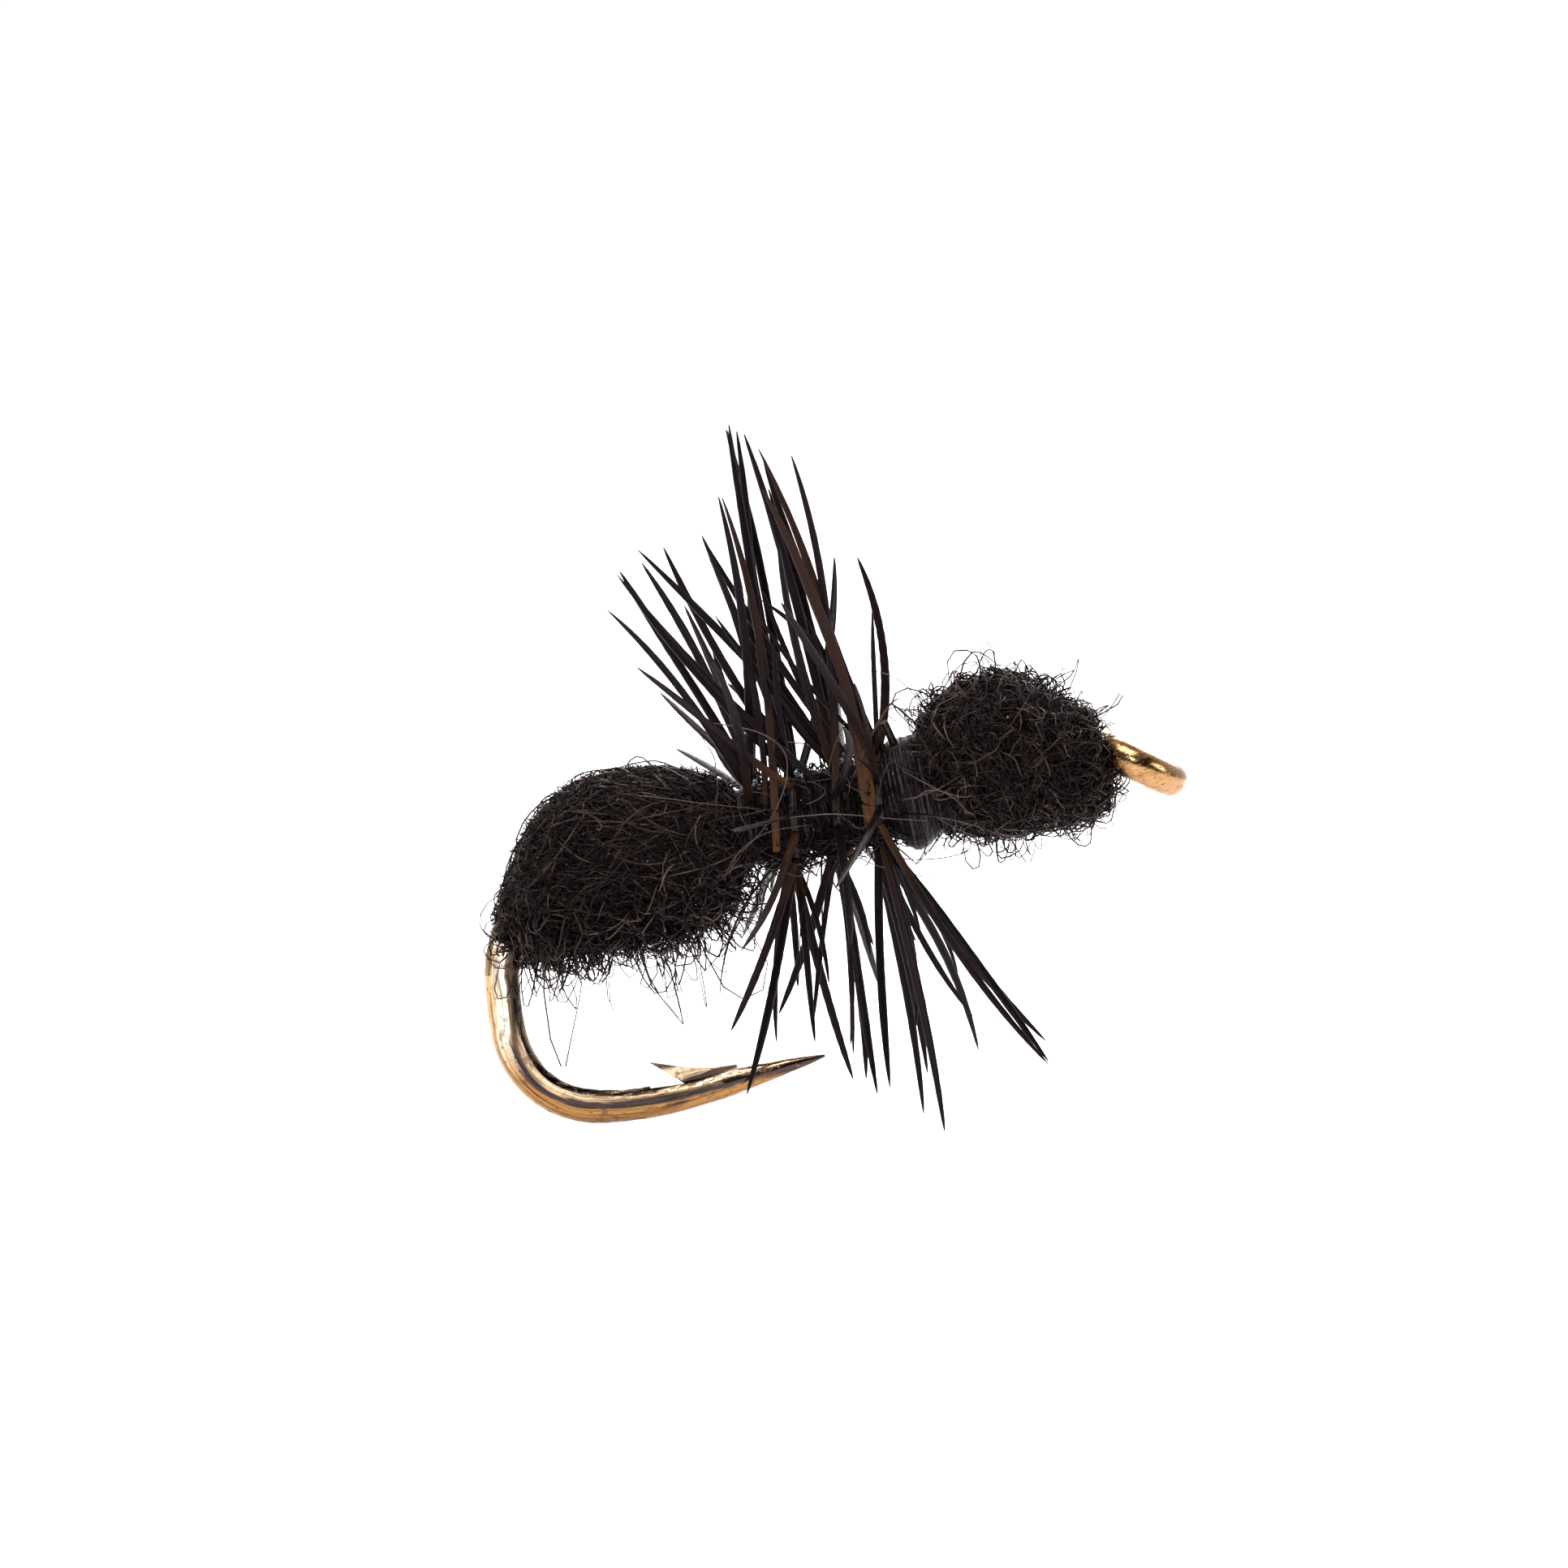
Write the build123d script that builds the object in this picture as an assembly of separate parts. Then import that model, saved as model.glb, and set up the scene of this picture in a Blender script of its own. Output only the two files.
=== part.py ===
from build123d import *
import os
from math import cos, radians, sin

# Dry fly: a fur body and a wound hackle collar tied on a bronzed, forged, down-eye hook.
# Everything is laid out in the hook's own frame: x runs along the shank from the start of
# the bend (0) to the eye, y is across the fly, z is away from the gape.
# The finished fly is then pitched nose up and set down on its bend and its hackle tips.
# All lengths are in millimetres and all angles in degrees.

# ---- hook wire ----
WIRE_DIAMETER = 0.40        # shank and bend
EYE_WIRE_SHARE = 0.95       # the shank tapers to this share of the wire at the eye
FORGED_SHARE = 0.825        # the bend and spear are pressed flat to this share of it
SPEAR_SHARE = 0.85          # and the spear is drawn down to this share
SHANK_LENGTH = 5.86         # start of the bend to the turn of the neck
SHANK_TAPER_LENGTH = 0.40
NECK_DROP = 40.5            # how far the eye turns down from the shank
NECK_RADIUS = 0.42
EYE_HOLE_RADIUS = 0.20
EYE_LAND_DEPTH = 0.0075     # how far the reamed hole cuts into the ring's inside
EYE_CLEARANCE = 0.1625      # turn of the neck to the outside of the ring's near side
KNUCKLE_SWELL = 1.03        # the wire is this much fuller where it turns into the ring
EYE_GAP_ANGLE = 34.0        # the wire's cut end stops this far short of the neck
BEND_ARCS = [(1.26, 77.0), (3.10, 13.0), (0.99, 75.0)]   # radius, turn
HEEL_RADIUS = 3.60
HEEL_TURN = 17.0
SPEAR_LENGTH = 1.60
SPEAR_RINGS = 14
POINT_LENGTH = 1.20
POINT_FULLNESS = 0.8        # below 1 the ground point swells out of a straight taper
POINT_TIP_DIAMETER = 0.03

# ---- barb of the hook, cut and raised from the spear ----
BARB_REACH = 0.33           # its tip lies this far behind the start of the spear
BARB_RISE = 0.46            # its tip stands this far above the spear's centre line
BARB_ROOT = 0.62            # where it runs out on the spear
BARB_CUT = 0.05             # depth of the cut below the top of the spear
BARB_WIDTH = 0.22
BARB_TIP_WIDE = 0.04
BARB_HUMP = 0.12            # the chip's back stands this far off the spear near its cut
BARB_HUMP_SHARE = 0.10
BARB_TAIL = 0.03            # and this far off at the start of its tail
BARB_TAIL_SHARE = 0.60
GOUGE_RELIEF = 0.05         # the gouge opens this far past the barb's tip

# ---- thread ----
THREAD_LAYER = 0.05         # the base, wound straight on the wire
THREAD_BASE_START = 0.05
THREAD_STOP = 0.24          # the thread ends this far short of the turn of the neck
REAR_WRAPS_START = 1.70
REAR_WRAPS_LENGTH = 0.16
REAR_WRAPS_BUILD = 0.13     # over the base
SEAT_LENGTH = 1.74
SEAT_BUILD = 0.15           # over the base; the hackle is wound on it
FRONT_WRAPS_LENGTH = 0.42
FRONT_WRAPS_BUILD = 0.14    # over the seat
WHIP_FINISH_LENGTH = 0.32
WHIP_FINISH_BUILD = 0.06
CEMENT_THICKNESS = 0.03
WRAP_EDGE = 0.06            # rounding of a band of wraps at its edges

# ---- dubbed fur ----
ABDOMEN_START = -1.06
ABDOMEN_OVERLAP = 0.18      # how far the fur runs forward over the rear wraps
ABDOMEN_HEIGHT = 2.00
ABDOMEN_WIDTH = 1.90
ABDOMEN_DROOP = 0.56        # the fur follows the wire down into the bend
HEAD_OVERHANG = 0.12        # how far the fur stands past the turn of the neck
HEAD_HEIGHT = 1.92
HEAD_WIDTH = 1.84
HEAD_RISE = 0.13
FUR_RINGS = 9
FUR_MARGIN = 0.12           # the first and last ring stand this share in from the ends
FUR_FULLNESS = 0.80         # below 1 the bulk is blunter than an ellipsoid

# ---- hackle ----
QUILL_DIAMETER = 0.12
QUILL_INSET = 0.14          # from the seat's rear end to its first crossing of the top
QUILL_TIE_OFF = 0.1104      # its end stops this far short of the seat's front end
QUILL_LEAD = 65             # how far before that crossing the quill begins
QUILL_TURNS = 3.04          # turns from that crossing to the tie-off
BUTT_DIAMETER = 0.10
BUTT_REACH = 0.61           # how far it lies behind the seat, under the fur
BUTT_BEDDING = 0.01         # the stem is pressed this far into the thread base
STUB_DIAMETER = 0.09
STUB_HEIGHT = 0.42
STUB_LEAN = 10.0
STUB_INSET = 0.07           # in front of the seat's end, under the front wraps
STUB_CLOCK = -24            # on the near side of the top
BARB_BASE_WIDTH = 0.10
BARB_MID_WIDTH = 0.115
BARB_TIP_WIDTH = 0.05
BARB_THICKNESS = 0.05
BARB_SEATING = 0.005        # how far a barb's foot is sunk in the quill

# A barb's blade: share of its length, width, share of its thickness.
BARB_BLADE = [
    (0.0, BARB_BASE_WIDTH, 1.0),
    (0.35, BARB_MID_WIDTH, 0.9),
    (0.70, BARB_MID_WIDTH, 0.7),
    (1.0, BARB_TIP_WIDTH, 0.5),
]

# ---- stance ----
PITCH = 13.5                # nose-up pitch of the shank as the fly stands

# Its cross-section, a flat lens of six corners, in half widths and half thicknesses.
BARB_LENS = [(1.0, 0.0), (0.5, 1.0), (-0.5, 1.0), (-1.0, 0.0), (-0.5, -1.0), (0.5, -1.0)]

# One row for each hackle barb: the turn of the quill it grows from, its clock angle round
# the shank (0 is up, 90 is away in +y, 180 is down), how far it leans towards the eye,
# its length, and its bow as a share of the length.
HACKLE_BARBS = [
    # upper side
    (0, -35, -20, 3.05, 0.02), (0, 310, -26, 3.05, -0.02), (0, 60, -18, 2.85, 0.02),
    (0, -10, -18, 2.80, 0.01), (0, 332, -24, 3.20, -0.01), (0, 25, -13, 3.00, 0.02),
    (1, 343, -28, 3.35, 0.02), (0, 348, -16, 2.95, -0.02), (0, 42, -7, 2.90, 0.02),
    (1, 2, -8, 2.80, 0.01), (0, -22, 7, 3.50, 0.03), (0, 354, 3, 3.95, -0.01),
    (1, 8, 2, 3.90, 0.01), (0, 5, 11, 3.90, 0.01), (1, 350, -2, 3.85, 0.01),
    (2, 5, -2, 3.55, 0.02), (1, 35, 19, 2.90, 0.03), (3, 4, 7, 2.15, 0.08),
    (2, 14, -1, 3.20, 0.02), (2, 352, -8, 3.50, -0.02),
    # near side
    (0, -58, 0, 3.30, 0.02), (1, 320, 0, 3.50, -0.02), (2, 309, -10, 3.40, 0.02),
    (1, 285, 5, 3.20, 0.02), (0, 272, -12, 3.25, -0.02), (2, 258, -12, 3.20, 0.02),
    (1, 245, -3, 2.90, 0.01), (0, 250, -16, 3.10, 0.02),
    # far side
    (0, 75, -16, 3.20, 0.02), (1, 85, -6, 3.30, -0.02), (2, 98, 5, 3.10, 0.02),
    (0, 112, -13, 3.10, 0.01), (1, 125, 3, 3.30, 0.02), (2, 66, 2, 3.30, -0.02),
    (1, 106, 10, 3.10, 0.02),
    # lower side
    (0, 204, -32, 2.15, 0.02), (0, 185, -25, 2.65, 0.01), (1, 160, -30, 2.05, 0.02),
    (0, 173, 2, 2.55, -0.01), (1, 194, -4, 2.80, 0.01), (1, 183, -6, 2.55, 0.02),
    (2, 187, -11, 2.75, -0.02), (2, 160, -1, 2.90, 0.01), (2, 138, 9, 3.80, 0.02),
    (2, 198, 23, 3.20, 0.02), (2, 168, 26, 3.00, -0.01),
]

# The barbs that the fly stands on: turn, clock angle, lean and bow. Each is as long as it
# takes to reach the ground.
STANDING_BARBS = [
    (2, 152, -3, 0.01),
    (2, 208, -1, 0.01),
]

SHANK = Vector(1, 0, 0)
WIRE_RADIUS = WIRE_DIAMETER / 2
EYE_WIRE_RADIUS = WIRE_RADIUS * EYE_WIRE_SHARE
EYE_RING_RADIUS = EYE_HOLE_RADIUS + EYE_WIRE_RADIUS - EYE_LAND_DEPTH
EYE_SET_BACK = EYE_CLEARANCE + EYE_RING_RADIUS
SPEAR_RADIUS = WIRE_RADIUS * SPEAR_SHARE
THREAD_BASE_RADIUS = WIRE_RADIUS + THREAD_LAYER
THREAD_BASE_END = SHANK_LENGTH - THREAD_STOP
SEAT_START = REAR_WRAPS_START + REAR_WRAPS_LENGTH
SEAT_END = SEAT_START + SEAT_LENGTH
SEAT_RADIUS = THREAD_BASE_RADIUS + SEAT_BUILD
FRONT_WRAPS_END = SEAT_END + FRONT_WRAPS_LENGTH
BUTT_START = SEAT_START - BUTT_REACH
QUILL_RADIUS = QUILL_DIAMETER / 2
QUILL_START = SEAT_START + QUILL_INSET
QUILL_PITCH = (SEAT_LENGTH - QUILL_INSET - QUILL_TIE_OFF) / QUILL_TURNS
HELIX_RADIUS = SEAT_RADIUS + QUILL_RADIUS


def across_shank(x, up=0.0):
    """Plane square to the shank at x, its own x across the fly and its y up."""
    return Plane(origin=(x, 0, up), x_dir=(0, 1, 0), z_dir=(1, 0, 0))


def rod(start, end, radius):
    """Straight round rod between two points."""
    run = Vector(*end) - Vector(*start)
    base = Plane(origin=start, z_dir=run)
    return base * extrude(Circle(radius), run.length)


def bend_path():
    """The round part of the bend, from the shank's rear end to the start of the heel."""
    point, heading = (0, 0), (-1, 0)
    edges = []
    for radius, turn in BEND_ARCS:
        arc = JernArc(point, heading, radius, turn)
        edges.append(arc)
        point, heading = arc @ 1, arc % 1
    return edges, point, heading


def spear_radius(share):
    """Radius of the wire at a share of the way from the heel to the point."""
    total = radians(HEEL_TURN) * HEEL_RADIUS + SPEAR_LENGTH
    to_point = (1 - share) * total
    if to_point >= POINT_LENGTH:
        ease = min(1.0, (to_point - POINT_LENGTH) / (total - POINT_LENGTH))
        return SPEAR_RADIUS + (WIRE_RADIUS - SPEAR_RADIUS) * ease
    grind = (to_point / POINT_LENGTH) ** POINT_FULLNESS
    tip_radius = POINT_TIP_DIAMETER / 2
    return tip_radius + (SPEAR_RADIUS - tip_radius) * grind


def make_shank_and_eye():
    """Straight shank, its taper, the neck, and a ring whose cut end stops beside the neck."""
    half_drop = radians(NECK_DROP / 2)
    shank_end = SHANK_LENGTH - NECK_RADIUS * sin(half_drop) / cos(half_drop)
    taper_start = shank_end - SHANK_TAPER_LENGTH
    profile = Polyline((0, 0), (0, WIRE_RADIUS), (taper_start, WIRE_RADIUS),
                       (shank_end, EYE_WIRE_RADIUS), (shank_end, 0), (0, 0))
    shank = revolve(Plane.XZ * make_face(profile), Axis.X)

    arc = JernArc((shank_end, 0), (1, 0), NECK_RADIUS, -NECK_DROP)
    run_in = Line(arc @ 1, arc @ 1 + (arc % 1) * EYE_WIRE_RADIUS / 2)
    neck = sweep(across_shank(shank_end) * Circle(EYE_WIRE_RADIUS),
                 path=Plane.XZ * Wire([arc.edge(), run_in.edge()]))

    # The ring stands in its own plane, its hole round z and its knuckle at -x.
    reach = Vector(cos(radians(NECK_DROP)), 0, -sin(radians(NECK_DROP)))
    centre = SHANK * SHANK_LENGTH + reach * EYE_SET_BACK
    ring_plane = Plane(origin=centre, x_dir=reach, z_dir=reach.cross(Vector(0, 1, 0)))
    section = Plane.XZ * Pos(-EYE_RING_RADIUS, 0) * Circle(EYE_WIRE_RADIUS)
    ring = revolve(section, Axis.Z, -(360 - EYE_GAP_ANGLE))
    knuckle = Pos(-EYE_RING_RADIUS, 0, 0) * Sphere(EYE_WIRE_RADIUS * KNUCKLE_SWELL)
    ring = ring + knuckle
    ring = ring - Cylinder(EYE_HOLE_RADIUS, WIRE_DIAMETER)
    return shank + neck + ring_plane * ring, ring_plane


def make_spear():
    """Heel, spear and ground point, lofted through rings that follow the wire."""
    _, point, heading = bend_path()
    heel = JernArc(point, heading, HEEL_RADIUS, HEEL_TURN)
    spear = Line(heel @ 1, heel @ 1 + (heel % 1) * SPEAR_LENGTH)
    total = heel.length + spear.length
    rings = []
    for number in range(SPEAR_RINGS + 1):
        share = number / SPEAR_RINGS
        travelled = share * total
        if travelled <= heel.length:
            place, along = heel @ (travelled / heel.length), heel % (travelled / heel.length)
        else:
            place, along = heel @ 1 + (heel % 1) * (travelled - heel.length), heel % 1
        ring = Plane(origin=(place.X, 0, place.Y), z_dir=(along.X, 0, along.Y), x_dir=(0, 1, 0))
        rings.append(ring * Circle(spear_radius(share)))
    return loft(rings), heel


def make_hook_barb(heel):
    """The barb's chip and the notch under it, drawn beside the spear's centre line."""
    place, along = heel @ 1, heel % 1
    frame = Plane(origin=(place.X, 0, place.Y), x_dir=(along.X, 0, along.Y), z_dir=(0, -1, 0))
    tip = (-BARB_REACH, BARB_RISE)
    top = SPEAR_RADIUS
    throat = (0.0, top - BARB_CUT)
    hump = (BARB_ROOT * BARB_HUMP_SHARE, top + BARB_HUMP)
    tail = (BARB_ROOT * BARB_TAIL_SHARE, top + BARB_TAIL)
    outline = Polyline(tip, hump, tail, (BARB_ROOT, top), (BARB_ROOT, 0), (0, 0), throat, tip)
    chip = extrude(frame * make_face(outline), BARB_WIDTH / 2, both=True)
    half_tip = BARB_TIP_WIDE / 2
    half = BARB_WIDTH / 2
    plan = Polyline((-BARB_REACH, -half_tip), (-BARB_REACH, half_tip), (0.0, half),
                    (BARB_ROOT, half), (BARB_ROOT, -half), (0.0, -half),
                    (-BARB_REACH, -half_tip))
    above = Plane(origin=frame.origin, x_dir=frame.x_dir, z_dir=frame.y_dir)
    chip = chip & extrude(above * make_face(plan), 2 * BARB_RISE, both=True)
    mouth = -BARB_REACH - GOUGE_RELIEF
    gouge = Polyline(throat, tip, (mouth, BARB_RISE), (mouth, top), throat)
    notch = extrude(frame * make_face(gouge), WIRE_DIAMETER, both=True)
    return chip, notch


def make_hook():
    edges, _, _ = bend_path()
    path = Plane.XZ * Wire([edge.edge() for edge in edges])
    rear_end = Plane(origin=(0, 0, 0), z_dir=(-1, 0, 0))
    bend = sweep(rear_end * Circle(WIRE_RADIUS), path=path)
    spear, heel = make_spear()
    chip, notch = make_hook_barb(heel)
    forging = Box(4 * SHANK_LENGTH, WIRE_DIAMETER * FORGED_SHARE, 4 * SHANK_LENGTH)
    forged = (bend + (spear - notch)) & forging
    front, ring_plane = make_shank_and_eye()
    return forged + chip + front, ring_plane


def wraps(start, end, radius):
    """Band of tight thread wraps: a drum with rounded edges, later bored for what it holds."""
    drum = rod((start, 0, 0), (end, 0, 0), radius)
    return fillet(drum.edges().filter_by(GeomType.CIRCLE), min(WRAP_EDGE, (end - start) / 3))


def fur(start, end, height, width, rise, droop):
    """Dubbed fur bulk: rings of a blunt ellipsoid, its rear end sagging by droop."""
    rings = []
    for number in range(FUR_RINGS):
        share = FUR_MARGIN / 2 + (1 - FUR_MARGIN) * number / (FUR_RINGS - 1)
        station = start + (end - start) * (1 - cos(radians(180 * share))) / 2
        bulk = sin(radians(180 * share)) ** FUR_FULLNESS
        sag = droop * max(0.0, (end + start - 2 * station) / (end - start)) ** 2
        ring = across_shank(station, rise - sag) * Ellipse(width / 2 * bulk, height / 2 * bulk)
        rings.append(ring)
    return loft(rings)


def make_quill():
    """The feather's stem, wound forward over the seat in open turns."""
    lead = radians(QUILL_LEAD)
    station = QUILL_START - QUILL_PITCH * QUILL_LEAD / 360
    start = Plane(origin=(station, 0, 0), x_dir=(0, -sin(lead), cos(lead)), z_dir=SHANK)
    turns = QUILL_TURNS + QUILL_LEAD / 360
    helix = start * Helix(QUILL_PITCH, QUILL_PITCH * turns, HELIX_RADIUS, lefthand=True)
    section = Plane(origin=helix @ 0, z_dir=helix % 0) * Circle(QUILL_RADIUS)
    return sweep(section, path=helix, is_frenet=True)


def barb_root(turn, clock):
    """Where a barb grows: a point on the wound quill and the outward direction there."""
    out = Vector(0, sin(radians(clock)), cos(radians(clock)))
    station = QUILL_START + QUILL_PITCH * (turn + clock / 360)
    return SHANK * station + out * (HELIX_RADIUS + QUILL_RADIUS - BARB_SEATING), out


def make_barb(turn, clock, lean, length, bow):
    """One hackle barb: a thin blade that tapers to its tip, its flat side along the shank."""
    root, out = barb_root(turn, clock)
    along = out * cos(radians(lean)) + SHANK * sin(radians(lean))
    across = SHANK * cos(radians(lean)) - out * sin(radians(lean))
    sections = []
    for share, width, thick in BARB_BLADE:
        swing = 4 * bow * length * share * (1 - share)
        place = root + along * (length * share) + across * swing
        plane = Plane(origin=place, x_dir=across, z_dir=along)
        half, deep = width / 2, BARB_THICKNESS * thick / 2
        corners = [(half * wide, deep * tall) for wide, tall in BARB_LENS]
        sections.append(plane * make_face(Polyline(*corners, close=True)))
    return loft(sections, ruled=True)


def length_to_ground(turn, clock, lean, hook_low):
    """Length at which a barb's tip comes level with the underside of the bend."""
    root, out = barb_root(turn, clock)
    along = out * cos(radians(lean)) + SHANK * sin(radians(lean))
    pitched = Rot(0, -PITCH, 0)
    root_height = (pitched * Pos(*root)).position.Z
    drop = -(pitched * Pos(*along)).position.Z
    return (root_height - hook_low - BARB_TIP_WIDTH / 4) / drop


nodes = {}
nodes["hook"], eye_plane = make_hook()
hook = nodes["hook"]

butt_side = THREAD_BASE_RADIUS + BUTT_DIAMETER / 2 - BUTT_BEDDING
butt = rod((BUTT_START, butt_side, 0), (SEAT_START, butt_side, 0), BUTT_DIAMETER / 2)
nodes["hackle_butt"] = butt

thread_base = rod((THREAD_BASE_START, 0, 0), (THREAD_BASE_END, 0, 0), THREAD_BASE_RADIUS)
nodes["thread_base"] = thread_base - hook - butt

abdomen_end = REAR_WRAPS_START + ABDOMEN_OVERLAP
abdomen = fur(ABDOMEN_START, abdomen_end, ABDOMEN_HEIGHT, ABDOMEN_WIDTH, 0.0, ABDOMEN_DROOP)
rear_wraps = wraps(REAR_WRAPS_START, SEAT_START, THREAD_BASE_RADIUS + REAR_WRAPS_BUILD)
nodes["rear_waist_wraps"] = rear_wraps - thread_base - butt
nodes["abdomen_dubbing"] = abdomen - rear_wraps - thread_base - butt - hook

seat = rod((SEAT_START, 0, 0), (SEAT_END, 0, 0), SEAT_RADIUS)
nodes["hackle_seat_wraps"] = seat - thread_base
nodes["hackle_quill"] = make_quill()

stub_out = Vector(0, sin(radians(STUB_CLOCK)), cos(radians(STUB_CLOCK)))
stub_foot = SHANK * (SEAT_END + STUB_INSET) + stub_out * HELIX_RADIUS
stub_way = stub_out * cos(radians(STUB_LEAN)) - SHANK * sin(radians(STUB_LEAN))
stub = rod(stub_foot, stub_foot + stub_way * STUB_HEIGHT, STUB_DIAMETER / 2)
nodes["hackle_tip_stub"] = stub

front_wraps = wraps(SEAT_END, FRONT_WRAPS_END, SEAT_RADIUS + FRONT_WRAPS_BUILD)
nodes["front_waist_wraps"] = front_wraps - thread_base - stub

whip_start = THREAD_BASE_END - WHIP_FINISH_LENGTH
whip_radius = THREAD_BASE_RADIUS + WHIP_FINISH_BUILD
whip = wraps(whip_start, THREAD_BASE_END, whip_radius)
cement = wraps(whip_start, THREAD_BASE_END + CEMENT_THICKNESS, whip_radius + CEMENT_THICKNESS)
nodes["whip_finish"] = whip - thread_base
nodes["head_cement"] = cement - whip - thread_base - hook

head_end = SHANK_LENGTH + HEAD_OVERHANG
head = fur(FRONT_WRAPS_END - WRAP_EDGE, head_end, HEAD_HEIGHT, HEAD_WIDTH, HEAD_RISE, 0.0)
nodes["head_dubbing"] = head - front_wraps - cement - thread_base - hook

hook_low = (Rot(0, -PITCH, 0) * hook).bounding_box().min.Z
barbs = list(HACKLE_BARBS)
for turn, clock, lean, bow in STANDING_BARBS:
    barbs.append((turn, clock, lean, length_to_ground(turn, clock, lean, hook_low), bow))
for number, row in enumerate(barbs, start=1):
    nodes[f"hackle_barb_{number:02d}"] = make_barb(*row)

pitched = {name: Rot(0, -PITCH, 0) * shape for name, shape in nodes.items()}
boxes = [shape.bounding_box() for shape in pitched.values()]
middle = (min(box.min.X for box in boxes) + max(box.max.X for box in boxes)) / 2
stand = Pos(-middle, 0, -min(box.min.Z for box in boxes))

os.makedirs("parts", exist_ok=True)
for name, shape in pitched.items():
    placed = stand * shape
    placed.label = name
    export_step(placed, f"parts/{name}.step")

eye = (stand * Rot(0, -PITCH, 0) * Pos(*eye_plane.origin)).position
print("eye centre", [round(value, 3) for value in eye])
print("ok")
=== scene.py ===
from math import cos, radians, sin

import bpy
import numpy as np
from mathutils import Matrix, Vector


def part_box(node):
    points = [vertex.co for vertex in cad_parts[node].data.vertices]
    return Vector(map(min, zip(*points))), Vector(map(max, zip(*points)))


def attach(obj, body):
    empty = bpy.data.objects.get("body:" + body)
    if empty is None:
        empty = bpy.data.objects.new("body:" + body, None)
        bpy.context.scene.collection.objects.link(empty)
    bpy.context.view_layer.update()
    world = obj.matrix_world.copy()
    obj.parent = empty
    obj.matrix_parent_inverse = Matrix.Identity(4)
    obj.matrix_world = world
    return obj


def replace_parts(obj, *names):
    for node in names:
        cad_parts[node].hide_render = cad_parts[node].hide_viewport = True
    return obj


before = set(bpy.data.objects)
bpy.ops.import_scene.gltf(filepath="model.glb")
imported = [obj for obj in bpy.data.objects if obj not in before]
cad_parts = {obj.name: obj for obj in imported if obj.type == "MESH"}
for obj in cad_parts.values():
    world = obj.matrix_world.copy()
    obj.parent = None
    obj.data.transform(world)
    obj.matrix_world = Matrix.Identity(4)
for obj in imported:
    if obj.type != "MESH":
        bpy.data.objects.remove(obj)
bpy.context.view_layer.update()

# ----------------------------------------------------------
# The camera looks square at the fly's side from just above the table, far enough away
# that the fly shows almost without perspective, as through a macro lens.
# ----------------------------------------------------------
MM = 0.001
scene = bpy.context.scene
hook_low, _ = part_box("hook")
aim = Vector((hook_low.x + 3.36 * MM, 0, hook_low.z + 3.80 * MM))
camera_height = radians(2.0)
camera_distance = 0.25
view_width = 17.56 * MM
sensor_width = 36.0

camera_data = bpy.data.cameras.new("macro_camera")
camera_data.sensor_width = sensor_width
camera_data.lens = sensor_width * camera_distance / view_width
camera_data.clip_start = 0.01
camera_data.clip_end = 5.0
camera = bpy.data.objects.new("macro_camera", camera_data)
camera_way = Vector((0, -np.cos(camera_height), np.sin(camera_height)))
camera.location = aim + camera_way * camera_distance
camera.rotation_euler = (radians(90) - camera_height, 0, 0)
scene.collection.objects.link(camera)
scene.camera = camera
scene.view_settings.view_transform = "Standard"


# ----------------------------------------------------------
# The floor is a sheet of matt white card, lit evenly so that it goes almost white. The
# world is a white tent that is open, and so darker, on the camera's side.
# ----------------------------------------------------------
def add(tree, kind, **values):
    """A new node of that kind. Values whose names are its properties are set as such, and
    the rest set its input sockets by name, or by number when the name is like in_1."""
    node = tree.nodes.new("ShaderNode" + kind)
    for name, value in values.items():
        if name.startswith("in_"):
            node.inputs[int(name[3:])].default_value = value
        elif hasattr(node, name):
            setattr(node, name, value)
        else:
            node.inputs[name.replace("_", " ")].default_value = value
    return node


def join(tree, source, target):
    tree.links.new(source, target)


def start_material(name, **values):
    """A material with one Principled shader whose sockets hold the given values."""
    made = bpy.data.materials.new(name)
    made.use_nodes = True
    tree = made.node_tree
    tree.nodes.clear()
    out = tree.nodes.new("ShaderNodeOutputMaterial")
    skin = tree.nodes.new("ShaderNodeBsdfPrincipled")
    tree.links.new(skin.outputs[0], out.inputs[0])
    for socket, value in values.items():
        skin.inputs[socket.replace("_", " ")].default_value = value
    return made, tree, skin


def ramp(tree, stops, factor=None):
    """A colour ramp through (place, colour) stops, fed by the factor socket."""
    node = tree.nodes.new("ShaderNodeValToRGB")
    marks = node.color_ramp.elements
    while len(marks) < len(stops):
        marks.new(0.5)
    for mark, (place, colour) in zip(marks, stops):
        mark.position = place
        mark.color = (*colour, 1)
    if factor is not None:
        tree.links.new(factor, node.inputs[0])
    return node


def tint(tree, skin, stops, factor):
    """Base colour through a ramp of those stops."""
    join(tree, ramp(tree, stops, factor).outputs[0], skin.inputs["Base Color"])


card, tree, skin = start_material("matt_white_card", Roughness=0.9, Emission_Strength=0.62,
                                  Emission_Color=(1, 1, 1, 1))
place = add(tree, "TexCoord")
tooth = add(tree, "TexNoise", Scale=900.0, Detail=3.0)
join(tree, place.outputs["Object"], tooth.inputs["Vector"])
tint(tree, skin, [(0.3, (0.90, 0.90, 0.90)), (0.7, (0.94, 0.94, 0.94))], tooth.outputs[0])

card_size = 3.0
corner = card_size / 2
floor_mesh = bpy.data.meshes.new("floor")
floor_mesh.from_pydata([(-corner, -corner, 0), (corner, -corner, 0), (corner, corner, 0),
                        (-corner, corner, 0)], [], [(0, 1, 2, 3)])
floor_mesh.materials.append(card)
floor = bpy.data.objects.new("floor", floor_mesh)
scene.collection.objects.link(floor)

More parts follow.
